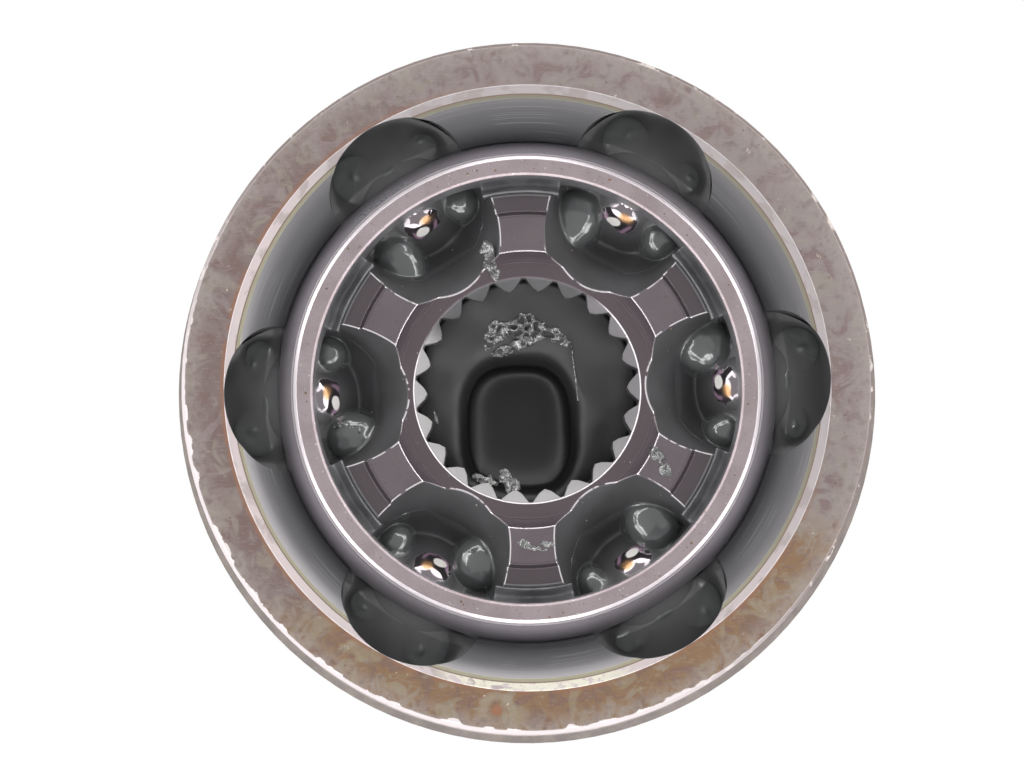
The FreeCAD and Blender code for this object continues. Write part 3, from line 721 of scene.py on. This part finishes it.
def dome(x, y, centre, reach, height):
    """An oval drop: a flat dome on a steep rim."""
    far = np.hypot((x - centre[0]) / reach[0], (y - centre[1]) / reach[1])
    return height * np.where(far < 1, 0.4 + 0.6 * np.sqrt(np.clip(1 - far**2.4, 0, 1)), 0.4 - 3 * (far - 1))


# %% Meshes from grids of points


def ring_of(radius, angle, height):
    """Points from polar grids."""
    radius, angle, height = np.broadcast_arrays(radius, angle, height)
    return np.stack([radius * np.cos(angle), radius * np.sin(angle), height], -1)


def grid_index(rows, columns, closed=False):
    """The number of each point in a grid. In a closed one the last column joins the first."""
    index = np.arange(rows * columns).reshape(rows, columns)
    return np.hstack([index, index[:, :1]]) if closed else index


def quads(index):
    """A face for every cell of a grid of point numbers."""
    return np.stack([index[:-1, :-1], index[:-1, 1:], index[1:, 1:], index[1:, :-1]], -1).reshape(-1, 4)


def make_piece(name, points, faces, material, body, wet=None):
    """A smooth closed mesh from points in millimetres, riding on a body. wet says how wet each point is."""
    mesh = bpy.data.meshes.new(name)
    mesh.from_pydata((points * MM).tolist(), [], faces)
    shell = bmesh.new()
    shell.from_mesh(mesh)
    bmesh.ops.recalc_face_normals(shell, faces=shell.faces)
    shell.to_mesh(mesh)
    shell.free()
    mesh.shade_smooth()
    mesh.materials.append(material)
    if wet is not None:
        mesh.attributes.new("wet", "FLOAT", "POINT").data.foreach_set("value", wet)
    piece = bpy.data.objects.new(name, mesh)
    bpy.context.scene.collection.objects.link(piece)
    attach(piece, body)
    return piece


def solid_between(name, top, under, material, body, ring=False, wet=None):
    """The solid between two grids of points. In a ring, the last column joins the first."""
    index = grid_index(*top.shape[:2], closed=ring)
    if ring:
        rims = [index[0], index[-1]]
    else:
        rims = [np.concatenate([index[0], index[1:, -1], index[-1, -2::-1], index[-2::-1, 0]])]
    drop = top.shape[0] * top.shape[1]
    faces = quads(index).tolist() + (quads(index)[:, ::-1] + drop).tolist()
    for rim in rims:
        faces += [[a, b, b + drop, a + drop] for a, b in zip(rim[:-1].tolist(), rim[1:].tolist())]
    points = np.concatenate([top.reshape(-1, 3), under.reshape(-1, 3)])
    if wet is not None:
        wet = np.tile(np.ravel(wet), 2)
    return make_piece(name, points, faces, material, body, wet)


# %% [markdown]
# ## Grease round the balls
#
# Each ball pushes grease along its tracks, and two drops stay in the corners at its sides, a large one and
# a small one, the same way round at every ball. The cage parts them from the two that lie outside it.

# %% Beds of grease
BODY_OF_BALL = {n: next(b for b, nodes in frame["record"]["behaviour"]["bodies"].items() if n in nodes)
                for n in frame["nodes"] if n.startswith("ball_")}
BED_ROWS, BED_COLUMNS = 72, 120
FILM_SINK = 0.1  # the bed ends this far under the ball's surface, so the ball itself shows
WALL_CLIMB = 0.5  # how far the grease climbs the track's walls
RIM_SINK = 0.35  # and how far its inner end dives

# Each drop and bead has its place (outwards, across), its reach in those two directions, and its rise.
INNER_BED = {
    "radii": (16.2, 24.2), "level": 3.2, "offset": -TRACK_OFFSET, "blend": 2.8, "drop_blend": 0.6,
    "drops": [((19.8, 4.3), (3.5, 2.9), 3.8), ((22.3, -5.2), (2.4, 2.0), 3.4)],
    "beads": [((18.4, -5.9), (0.35, 0.3), 0.2), ((21.9, 6.6), (0.3, 0.3), 0.2)],
}
OUTER_BED = {
    "radii": (28.1, 35.3), "level": 5.4, "offset": TRACK_OFFSET, "blend": 3.2, "drop_blend": 1.2,
    "drops": [((30.2, 3.7), (2.7, 2.7), 1.1), ((29.5, -4.6), (1.7, 1.9), 0.9)],
    "beads": [
        ((28.9, 0.2), (0.35, 1.0), 0.22), ((31.1, 3.5), (0.55, 0.4), 0.24), ((30.2, -4.6), (0.3, 0.5), 0.14),
    ],
}


def track_half_width(radius, height, offset):
    """How wide a track is, either way from its middle line, at a radius and a height."""
    lane = TRACK_ARC - np.hypot(radius, height - offset)
    return np.sqrt(np.clip(TRACK_RADIUS**2 - lane**2, 0.04, None))


def grease_bed(number, side, radii, level, offset, blend, drop_blend, drops, beads):
    """The grease round one ball on one side of the cage: the ball's own dome, a bed, drops and beads."""
    random = np.random.default_rng(100 * number + int(radii[0]))
    radius = np.linspace(*radii, BED_ROWS)[:, None] * np.ones(BED_COLUMNS)
    half = track_half_width(radius, level + 2.6, offset) + 0.35
    across = np.linspace(-1, 1, BED_COLUMNS)[None, :] * half
    outwards = np.sqrt(np.clip(radius**2 - across**2, 0, None))
    ball = BALL_RADIUS**2 - (outwards - PITCH_RADIUS) ** 2 - across**2
    height = np.sqrt(np.clip(ball, 0, None)) - FILM_SINK
    bed = level + 0.15 * waves(outwards, across, 2.6, number) + WALL_CLIMB * np.abs(across / half) ** 6
    if side == "inner":
        by_the_cage = np.clip((outwards - 20.5) / 3, 0, 1)
        bed += 3.0 * by_the_cage * np.clip(across**2 / 20, 0, 1)
        floor_arc = TRACK_ARC - np.sqrt(np.clip(TRACK_RADIUS**2 - across**2, 0, None))
        track_floor = np.sqrt(np.clip(floor_arc**2 - outwards**2, 0, None)) + offset
        bed = smooth_max(bed, np.minimum(track_floor + 0.03, level + 3.5), 4.0)
    height = smooth_max(height, bed, blend)
    wet = np.zeros_like(height)
    for centre, reach, rise in drops:
        size = random.uniform(0.88, 1.1, 2)
        place = (centre[0] + random.uniform(-0.3, 0.3), centre[1] + random.uniform(-0.3, 0.3))
        reach = (reach[0] * size[0], reach[1] * size[1])
        drop = level + dome(outwards, across, place, reach, rise * size[1])
        drop += 0.04 * waves(outwards, across, 1.3, number + 50)
        wet = np.maximum(wet, np.clip((drop - height) / 0.5 + 0.5, 0, 1))
        height = smooth_max(height, drop, drop_blend)
    for centre, reach, rise in beads:
        place = (centre[0] + random.uniform(-0.4, 0.4), centre[1] + random.uniform(-0.5, 0.5))
        far = np.hypot((outwards - place[0]) / reach[0], (across - place[1]) / reach[1])
        height += rise * random.uniform(0.7, 1.2) * np.exp(-(far**2))
        wet = np.maximum(wet, np.exp(-((far / 1.6) ** 4)))
    height -= RIM_SINK * np.clip(radii[0] + 1.2 - radius, 0, 1)
    turn = BALL_STEP * (number - 1)
    x = outwards * math.cos(turn) - across * math.sin(turn)
    y = outwards * math.sin(turn) + across * math.cos(turn)
    top = np.stack([x, y, height], -1)
    under = np.stack([x, y, np.full_like(x, level - 2.5)], -1)
    body = BODY_OF_BALL[f"ball_{number}"]
    return solid_between(f"grease_{side}_{number}", top, under, grease_finish, body, wet=wet)


for number in range(1, BALL_COUNT + 1):
    grease_bed(number, "inner", **INNER_BED)
    grease_bed(number, "outer", **OUTER_BED)

# %% [markdown]
# ## Grease between the race and the cage
#
# The slit between the two spheres is a tenth of a millimetre wide, and the film in it swells out at the
# front of each land, where the cage's bore opens. The film is painted pale, as painted light that keeps the
# deep gap from going black.

# %% Seams
SEAM_LEVEL = 9.2


def grease_seam(number):
    """The swell of grease along the end of one land of the race."""
    angle = np.linspace(-1, 1, 40)[None, :] * (0.5 * BALL_STEP - math.asin(TRACK_RADIUS * 0.93 / 23))
    radius = np.linspace(21.9, 23.7, 10)[:, None]
    hollow = 0.9 * ((radius - 22.9) / 0.6) ** 2
    height = SEAM_LEVEL + hollow + 0.12 * waves(radius * angle, radius + 0 * angle, 2.0, 60 + number)
    middle = BALL_STEP * (number + 0.5)
    top = ring_of(radius, angle + middle, height)
    under = ring_of(radius, angle + middle, height * 0 + SEAM_LEVEL - 1.5)
    return solid_between(f"grease_seam_{number + 1}", top, under, seam_finish, "cage")


for number in range(BALL_COUNT):
    grease_seam(number)
print("seams:", BALL_COUNT)

# %% [markdown]
# ## Grease in the bore
#
# The half shaft left its print when it was pulled out: grease stands between the teeth and rises to the
# front, with a smooth hole where the shaft's end was. The hole is a superellipse, off the middle, reaches
# the teeth at the bottom, and ends in a floor of grease above the snap ring.

# %% Bore plug
HOLE_CENTRE = (-1.0, -3.9)
HOLE_REACH = (5.9, 7.2)
HOLE_POWER = 2.8
PLUG_RADIUS = 12.3
PLUG_LEVEL = 4.4
PLUG_SLOPE = 3.0
THROAT_END = -2.5
PLUG_COLUMNS = 200


def hole_radius(angle):
    """How far the hole's rim lies from the bore's axis, by stepping outwards until the rim is met."""
    step = np.linspace(0, PLUG_RADIUS - 1.5, 500)[:, None]
    turn = np.ravel(angle)[None, :]
    across = np.abs((step * np.cos(turn) - HOLE_CENTRE[0]) / HOLE_REACH[0])
    along = np.abs((step * np.sin(turn) - HOLE_CENTRE[1]) / HOLE_REACH[1])
    outside = across**HOLE_POWER + along**HOLE_POWER > 1
    outside[-1] = True
    return step[outside.argmax(0), 0].reshape(np.shape(angle))


def plug_height(x, y, rim):
    """The front of the plug: highest at the top of the bore, and rounded down into the hole."""
    radius = np.hypot(x, y)
    level = PLUG_LEVEL + PLUG_SLOPE * y / PLUG_RADIUS + 0.1 * waves(x, y, 4.0, 7)
    return level - 2.2 * np.exp(-np.clip(radius - rim, 0, None) / 0.8)


def bore_plug():
    """One closed skin: the hole's floor, its throat, the front, and a back that lies behind the teeth."""
    angle = np.linspace(0, math.tau, PLUG_COLUMNS, endpoint=False)[None, :]
    rim = hole_radius(angle)
    radius = rim + (PLUG_RADIUS - rim) * np.linspace(0, 1, 36)[:, None] ** 1.5
    front = ring_of(radius, angle, plug_height(radius * np.cos(angle), radius * np.sin(angle), rim))
    inwards = np.concatenate([[0.001, 0.003], np.linspace(0.02, 1, 19)])[:, None]
    floor = ring_of(rim * inwards, angle, THROAT_END + 1.2 * inwards**6)
    depth = np.linspace(0, 1, 12)[1:-1, None]
    throat = ring_of(rim, angle, floor[-1:, :, 2] + (front[:1, :, 2] - floor[-1:, :, 2]) * depth)
    top = np.concatenate([floor, throat, front])
    back = ring_of(PLUG_RADIUS, angle, np.linspace(THROAT_END - 1.5, PLUG_LEVEL - 2, len(top))[:, None])
    return solid_between("grease_plug", top, back, bore_finish, "race", ring=True)


print("plug:", len(bore_plug().data.polygons), "faces")

# %% [markdown]
# ## Torn grease
#
# Where the shaft let go, the grease tore, and it kept the shape of the tear: a rough crescent above the
# hole, a thread drawn from its end, and crumbs on the race. One function makes them all. It lays a path,
# measures how far each grid point is from it, and raises rough relief there. Further out the surface dives
# under whatever it lies on, so its outline is as ragged as the relief.

# %% The finish of torn grease


def torn_grease():
    """Dark and wet, with pale lines painted on as highlights."""
    finish = Finish("grease_torn", tone(92, 92, 92), 0.2, 0.0)
    # Painted highlight: thin pale lines, where the noise crosses a narrow band, stand in for glints on the crests.
    crest = finish.noise(1.1, 4.0, 0.6, distortion=1.0)
    finish.paint(crest.within(0.49, 0.53, 0.04), tone(200, 200, 198), 0.25)
    finish.paint(finish.noise(0.9, 3.0).rises(0.5, 0.42) * 0.7, tone(54, 54, 54), 0.2)
    finish.raise_by(finish.noise(0.4, 3.0) * 0.05)
    return finish.done()


torn_finish = torn_grease()

# %% A patch along a path
TORN_GRAIN = 0.85
TORN_STEP = 0.1


def smooth_path(path, count):
    """Evenly spaced points along a path, with its corners rounded, and the way it runs at each."""
    path = np.array(path, float)
    length = np.concatenate([[0], np.cumsum(np.linalg.norm(np.diff(path, axis=0), axis=1))])
    share = np.linspace(0, length[-1], count)
    line = np.stack([np.interp(share, length, path[:, k]) for k in range(path.shape[1])], -1)
    for _ in range(count // 8):
        line[1:-1] = (line[:-2] + 2 * line[1:-1] + line[2:]) / 4
    run = np.gradient(line, axis=0)
    run /= np.linalg.norm(run, axis=1, keepdims=True)
    return line, run


def torn_patch(name, path, width, level, rise, seed, body="race"):
    """A rough patch along a path, lying at a level that is a number or a function of x and y."""
    length = np.linalg.norm(np.diff(path, axis=0), axis=1).sum()
    line, run = smooth_path(path, int(length / TORN_STEP))
    share = np.linspace(0, 1, len(line))
    across = np.linspace(-1, 1, int(2.4 * width / TORN_STEP))[None, :]
    ragged = 1 + 0.4 * waves(share * length, 0 * share, 1.3, seed) * np.sin(math.pi * share)
    half = (width * np.sin(math.pi * np.clip(share, 0.02, 0.98)) ** 0.4 * ragged)[:, None]
    x = line[:, :1] - run[:, 1:] * across * half
    y = line[:, 1:] + run[:, :1] * across * half
    x, y = x + 0.12 * waves(x, y, 0.7, seed + 2), y + 0.12 * waves(x, y, 0.7, seed + 3)
    base = level(x, y) if callable(level) else np.full_like(x, level)
    relief = 1 - 1.5 * np.abs(waves(x, y, TORN_GRAIN, seed + 1))
    bulge = np.sqrt(1 - across**2) * np.sqrt(np.sin(math.pi * share))[:, None]
    top = np.stack([x, y, base - 0.1 + bulge * (0.35 + rise * relief)], -1)
    under = np.stack([x, y, base - 0.15 - 0.4 * bulge], -1)
    return solid_between(name, top, under, torn_finish, body)


# %% A strand
STRAND_SIDES = 8
STRAND_POINTS = [
    (4.9, 5.4, 6.9), (5.2, 4.6, 6.0), (5.3, 3.2, 5.2), (5.5, 1.6, 4.8), (5.6, 0.2, 5.0), (5.7, -1.2, 5.4),
]


def strand(name, points, thickness):
    """A thread of grease through points, thin in the middle."""
    line, run = smooth_path(points, 40)
    side = np.cross(run, (0.0, 0.0, 1.0))
    side /= np.linalg.norm(side, axis=1, keepdims=True)
    rise = np.cross(side, run)
    turn = np.linspace(0, math.tau, STRAND_SIDES, endpoint=False)[None, :, None]
    share = np.linspace(-1, 1, len(line))[:, None, None]
    ring = np.cos(turn) * side[:, None] + np.sin(turn) * rise[:, None]
    grid = line[:, None] + ring * thickness * (0.45 + 0.55 * share**2)
    index = grid_index(len(line), STRAND_SIDES, closed=True)
    ends = [index[0, :-1].tolist(), index[-1, :-1].tolist()]
    return make_piece(name, grid.reshape(-1, 3), quads(index).tolist() + ends, torn_finish, "race")


# %% Where the grease tore
RACE_STEP_RADII = (14.2, 15.3, 19.3, 19.75)
RACE_STEP_HEIGHTS = (9.7, 11.3, 11.3, 10.85)


def plug_front(x, y):
    """The plug's front at any point."""
    return plug_height(x, y, hole_radius(np.arctan2(y, x).reshape(1, -1)).reshape(x.shape))


def race_front(x, y):
    """The race's stepped front at any point."""
    return np.interp(np.hypot(x, y), RACE_STEP_RADII, RACE_STEP_HEIGHTS)


TORN_PATCHES = {  # path, half width, what it lies on or at, rise, seed, and its body if that isn't the race
    "grease_tear": (
        [(-3.8, 4.3), (-4.3, 5.9), (-3.2, 6.9), (-1.0, 7.1), (1.2, 6.9), (3.2, 6.3), (5.0, 5.2)],
        1.2, plug_front, 0.55, 11,
    ),
    "grease_tear_tail": ([(-4.0, 4.4), (-2.4, 4.7), (-0.6, 5.4), (1.8, 6.0)], 0.7, plug_front, 0.4, 12),
    "grease_crumb_1": ([(-3.4, -8.9), (-2.6, -9.6), (-2.0, -10.6), (-2.3, -11.6)], 0.8, 8.0, 0.4, 13),
    "grease_crumb_2": ([(-6.4, -9.2), (-5.0, -9.9), (-3.6, -10.2)], 0.5, 7.8, 0.3, 14),
    "grease_crumb_3": ([(-10.5, -1.9), (-10.0, -3.4)], 0.22, 7.0, 0.15, 15),
    "grease_smear_1": ([(-4.1, 16.6), (-3.8, 14.6), (-3.0, 12.2)], 0.7, race_front, 0.3, 16),
    "grease_smear_2": ([(13.4, -6.8), (14.6, -8.4), (15.4, -10.6)], 0.75, race_front, 0.25, 17),
    "grease_smear_3": ([(-1.8, -16.7), (0.4, -17.6), (2.6, -17.0)], 0.5, race_front, 0.2, 18),
    "grease_torn_drop_4": (
        [(-21.8, -3.4), (-20.6, -2.9), (-19.3, -3.3), (-18.2, -4.6)], 0.5, 6.55, 0.35, 21, "ball_4",
    ),
    "grease_torn_drop_5": ([(-7.4, -18.3), (-6.4, -17.6), (-5.6, -18.0)], 0.35, 6.6, 0.2, 22, "ball_5"),
}
for name, patch in TORN_PATCHES.items():
    torn_patch(name, *patch)
strand("grease_strand", STRAND_POINTS, 0.15)
print("torn patches:", len(TORN_PATCHES))

# %% [markdown]
# ## The thread
#
# The hub nut's thread is one ridge that winds down the end of the stub. It could be a bump in the steel,
# but a bump has no outline and is lost in the exported mesh. Here a low ridge with a narrow flat crest is
# carried along a helix, and fades out at both ends as a rolled thread does. Its foot is sunk into the plain
# cylinder below it.

# %% Thread
THREAD_PITCH = 1.5
THREAD_RISE = 0.3
THREAD_FOOT = 0.1
FOOT_WIDTH = 0.9 * THREAD_PITCH
CREST_WIDTH = 0.16 * THREAD_PITCH
THREAD_STEPS = 72  # to a turn


def hub_thread():
    """A closed ridge with four corners: down one side of its foot, over the crest, and up the other side."""
    count = int((THREAD_LENGTH / THREAD_PITCH - 2) * THREAD_STEPS)
    step = np.arange(count + 1)
    angle = step * math.tau / THREAD_STEPS
    height = THREAD_START - THREAD_PITCH - angle / math.tau * THREAD_PITCH
    fade = np.clip(np.minimum(step, count - step) / (THREAD_STEPS / 4), 0, 1)
    foot = THREAD_RADIUS - THREAD_FOOT
    crest = foot + fade * (THREAD_FOOT + THREAD_RISE)
    corners = [(foot, FOOT_WIDTH), (crest, CREST_WIDTH), (crest, -CREST_WIDTH), (foot, -FOOT_WIDTH)]
    rings = np.stack([ring_of(radius, -angle, height + width / 2) for radius, width in corners], 1)
    index = grid_index(count + 1, 4, closed=True)
    faces = quads(index).tolist() + [index[0, :-1].tolist(), index[-1, -2::-1].tolist()]
    thread = make_piece("hub_thread", rings.reshape(-1, 3), faces, bell_finish, "bell")
    thread.data.shade_flat()
    return thread


print("thread: pitch", THREAD_PITCH, "mm,", len(hub_thread().data.polygons), "faces")

# %% [markdown]
# ## Crumbs
#
# Rust crumbs and hard bits of grease lie scattered on the cage and on the race. What repeats like this is a
# task for Geometry Nodes: a group spreads points over a surface and puts a small rough body on each. The
# surface is a thin ring at the height of the steel; it only places the crumbs, so it is removed when the
# group has run.

# %% A node group that scatters
CRUMB_INPUTS = {
    "Surface": "Object", "Density": "Float", "Size": "Float", "Seed": "Int", "Material": "Material",
}


def crumb_group():
    """Points spread over a surface by chance, with a crumb on each, up to the size that is asked for."""
    group = bpy.data.node_groups.new("crumbs", "GeometryNodeTree")
    group.interface.new_socket("Crumbs", in_out="OUTPUT", socket_type="NodeSocketGeometry")
    for name, kind in CRUMB_INPUTS.items():
        group.interface.new_socket(name, in_out="INPUT", socket_type=f"NodeSocket{kind}")
    tree = Nodes(group)
    asked = tree.node("NodeGroupInput", output=None)
    surface, density, size, seed, material = (Value(tree, asked.outputs[name]) for name in CRUMB_INPUTS)
    ground = tree.node("GeometryNodeObjectInfo", None, {"Object": surface}, output=None)
    ground = Value(tree, ground.outputs["Geometry"])
    values = {"Mesh": ground, "Density": density, "Seed": seed}
    points = tree.node("GeometryNodeDistributePointsOnFaces", None, values)
    grain = tree.node("GeometryNodeMeshIcoSphere", None, {"Radius": 1.0, "Subdivisions": 1})
    values = {"Min_001": size * 0.4, "Max_001": size, "Seed": seed}
    scale = tree.node("FunctionNodeRandomValue", {"data_type": "FLOAT"}, values, output=1)
    values = {"Points": points, "Instance": grain, "Scale": scale}
    crumbs = tree.node("GeometryNodeInstanceOnPoints", None, values)
    crumbs = tree.node("GeometryNodeRealizeInstances", None, {"Geometry": crumbs})
    crumbs = tree.node("GeometryNodeSetMaterial", None, {"Geometry": crumbs, "Material": material})
    tree.node("NodeGroupOutput", None, {0: crumbs}, output=None)
    return group


CRUMBS = crumb_group()
print("crumb group:", len(CRUMBS.nodes), "nodes")

# %% Scatter on a flat ring
RING_COLUMNS = 96
CRUMB_FACES = 20


def ring_ground(name, radii, height):
    """A flat ring, facing up, for the group to spread points on."""
    angle = np.linspace(0, math.tau, RING_COLUMNS, endpoint=False)[None, :]
    grid = ring_of(np.array(radii)[:, None], angle, height)
    faces = quads(grid_index(2, RING_COLUMNS, closed=True))[:, [0, 3, 2, 1]]
    mesh = bpy.data.meshes.new(name)
    mesh.from_pydata((grid.reshape(-1, 3) * MM).tolist(), [], faces.tolist())
    return bpy.data.objects.new(name, mesh)


def scatter(name, radii, height, density, size, seed, material, body):
    """Crumbs on a flat ring, as one plain mesh. Density is in crumbs per square millimetre."""
    ground = ring_ground(f"{name}_ground", radii, height)
    carrier = bpy.data.objects.new(f"{name}_carrier", bpy.data.meshes.new(f"{name}_carrier"))
    for helper in (ground, carrier):
        bpy.context.scene.collection.objects.link(helper)
    modifier = carrier.modifiers.new("crumbs", "NODES")
    modifier.node_group = CRUMBS
    asked = {"Surface": ground, "Density": density / MM**2, "Size": size * MM, "Seed": seed}
    asked["Material"] = material
    for item in CRUMBS.interface.items_tree:
        if item.in_out == "INPUT":
            modifier[item.identifier] = asked[item.name]
    grown = carrier.evaluated_get(bpy.context.evaluated_depsgraph_get())
    crumbs = bpy.data.meshes.new_from_object(grown)
    for helper in (ground, carrier):
        bpy.data.objects.remove(helper)
    piece = bpy.data.objects.new(name, crumbs)
    bpy.context.scene.collection.objects.link(piece)
    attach(piece, body)
    print(f"{name}: {len(crumbs.polygons) // CRUMB_FACES} crumbs")


# %% Crumbs on the cage and the race


def rust_crumb():
    """Matt brown rust."""
    finish = Finish("rust_crumb", tone(118, 86, 58), 0.7, 0.0)
    finish.paint(finish.noise(0.6).rises(0.45, 0.55), tone(92, 66, 48))
    return finish.done()


rust_finish = rust_crumb()
HUB_HEIGHT, LAND_HEIGHT = RACE_STEP_HEIGHTS[:2]
scatter("crumbs_rust_cage", (23.9, 25.1), CAGE_TOP, 0.22, 0.15, 3, rust_finish, "cage")
scatter("crumbs_grease_cage", (23.8, 25.2), CAGE_TOP, 0.25, 0.07, 8, torn_finish, "cage")
scatter("crumbs_rust_race", (15.6, 18.8), LAND_HEIGHT, 0.1, 0.09, 5, rust_finish, "race")
scatter("crumbs_grease_race", (12.8, 14.1), HUB_HEIGHT, 0.3, 0.1, 6, torn_finish, "race")

# %% [markdown]
# ## Floor and light
#
# The floor is plain and white. In the middle of a studio such a joint is lit by large soft boxes round the
# camera, and by the white walls at the sides, which make the chamfers shine, together with the highlights
# painted on them.

# %% Floor
FLOOR_GAP = 0.2
FLOOR_GLOW = 0.9  # how much of the floor is plain white to the camera; the rest takes the shadow


def floor_material():
    """Matt to the light, and nearly white to the camera and in reflections."""
    finish = Finish("floor_white", (0.9, 0.9, 0.9, 1.0), 0.9, 0.0)
    rays = finish.node("ShaderNodeLightPath", output=None)
    seen = Value(finish, rays.outputs["Is Camera Ray"])
    seen = seen.at_least(Value(finish, rays.outputs["Is Glossy Ray"]))
    seen = seen.at_least(Value(finish, rays.outputs["Is Transmission Ray"]))
    matt = finish.node("ShaderNodeBsdfDiffuse", None, {"Color": finish.colour})
    white = finish.node("ShaderNodeEmission", None, {"Color": (1, 1, 1, 1), "Strength": 1.0})
    surface = finish.node("ShaderNodeMixShader", None, {0: seen * FLOOR_GLOW, 1: matt, 2: white})
    finish.node("ShaderNodeOutputMaterial", None, {"Surface": surface}, output=None)
    return finish.material


bpy.ops.mesh.primitive_plane_add(size=4.0, location=(0, 0, (STUB_END - FLOOR_GAP) * MM))
floor = bpy.context.object
floor.name = "floor"
floor.data.materials.append(floor_material())
print(f"floor: {-floor.location.z / MM:.1f} mm below the joint's centre")

# %% World
SKY_SIDES = 0.95
SKY_OVERHEAD = 0.8
world = bpy.data.worlds.new("studio")
bpy.context.scene.world = world
world.use_nodes = True
sky = Nodes(world.node_tree)
rays = sky.node("ShaderNodeLightPath", output=None)
apart = sky.node("ShaderNodeSeparateXYZ", None, {0: sky.node("ShaderNodeTexCoord")}, output=None)
overhead = Value(sky, apart.outputs["Z"]).rises(0.55, 0.95)
seen = Value(sky, rays.outputs["Is Camera Ray"])
strength = (SKY_SIDES + overhead * (SKY_OVERHEAD - SKY_SIDES)).at_least(seen)
backdrop = sky.node("ShaderNodeBackground", None, {"Color": (1, 1, 1, 1), "Strength": strength})
sky.node("ShaderNodeOutputWorld", None, {"Surface": backdrop}, output=None)
print(f"sky: {SKY_SIDES} at the sides, {SKY_OVERHEAD} overhead")

# %% Soft boxes


def ring_of_lamps(name, count, size, distance, height, power, first=0.0, mirror_only=False):
    """Round area lamps in a ring, turned to the joint. Those that are mirror_only show in gloss alone."""
    for number in range(count):
        angle = math.radians(first + 360 / count * number)
        lamp = bpy.data.lights.new(f"{name}_{number + 1}", "AREA")
        lamp.shape = "DISK"
        lamp.size = size
        lamp.energy = power
        box = bpy.data.objects.new(lamp.name, lamp)
        spot = Vector((distance * math.cos(angle), distance * math.sin(angle), height))
        box.matrix_world = Matrix.Translation(spot) @ spot.to_track_quat("Z", "Y").to_matrix().to_4x4()
        box.visible_diffuse = not mirror_only
        bpy.context.scene.collection.objects.link(box)


ring_of_lamps("soft_box", 6, 0.20, 0.42, 0.34, 0.34, first=30)
ring_of_lamps("side_strip", 14, 0.26, 0.50, 0.17, 0.75, mirror_only=True)
ring_of_lamps("ring_light", 24, 0.07, 0.30, 0.36, 0.08, mirror_only=True)
print("lamps:", len(bpy.data.lights))

# %% Finish
bpy.context.scene.view_settings.view_transform = "Standard"
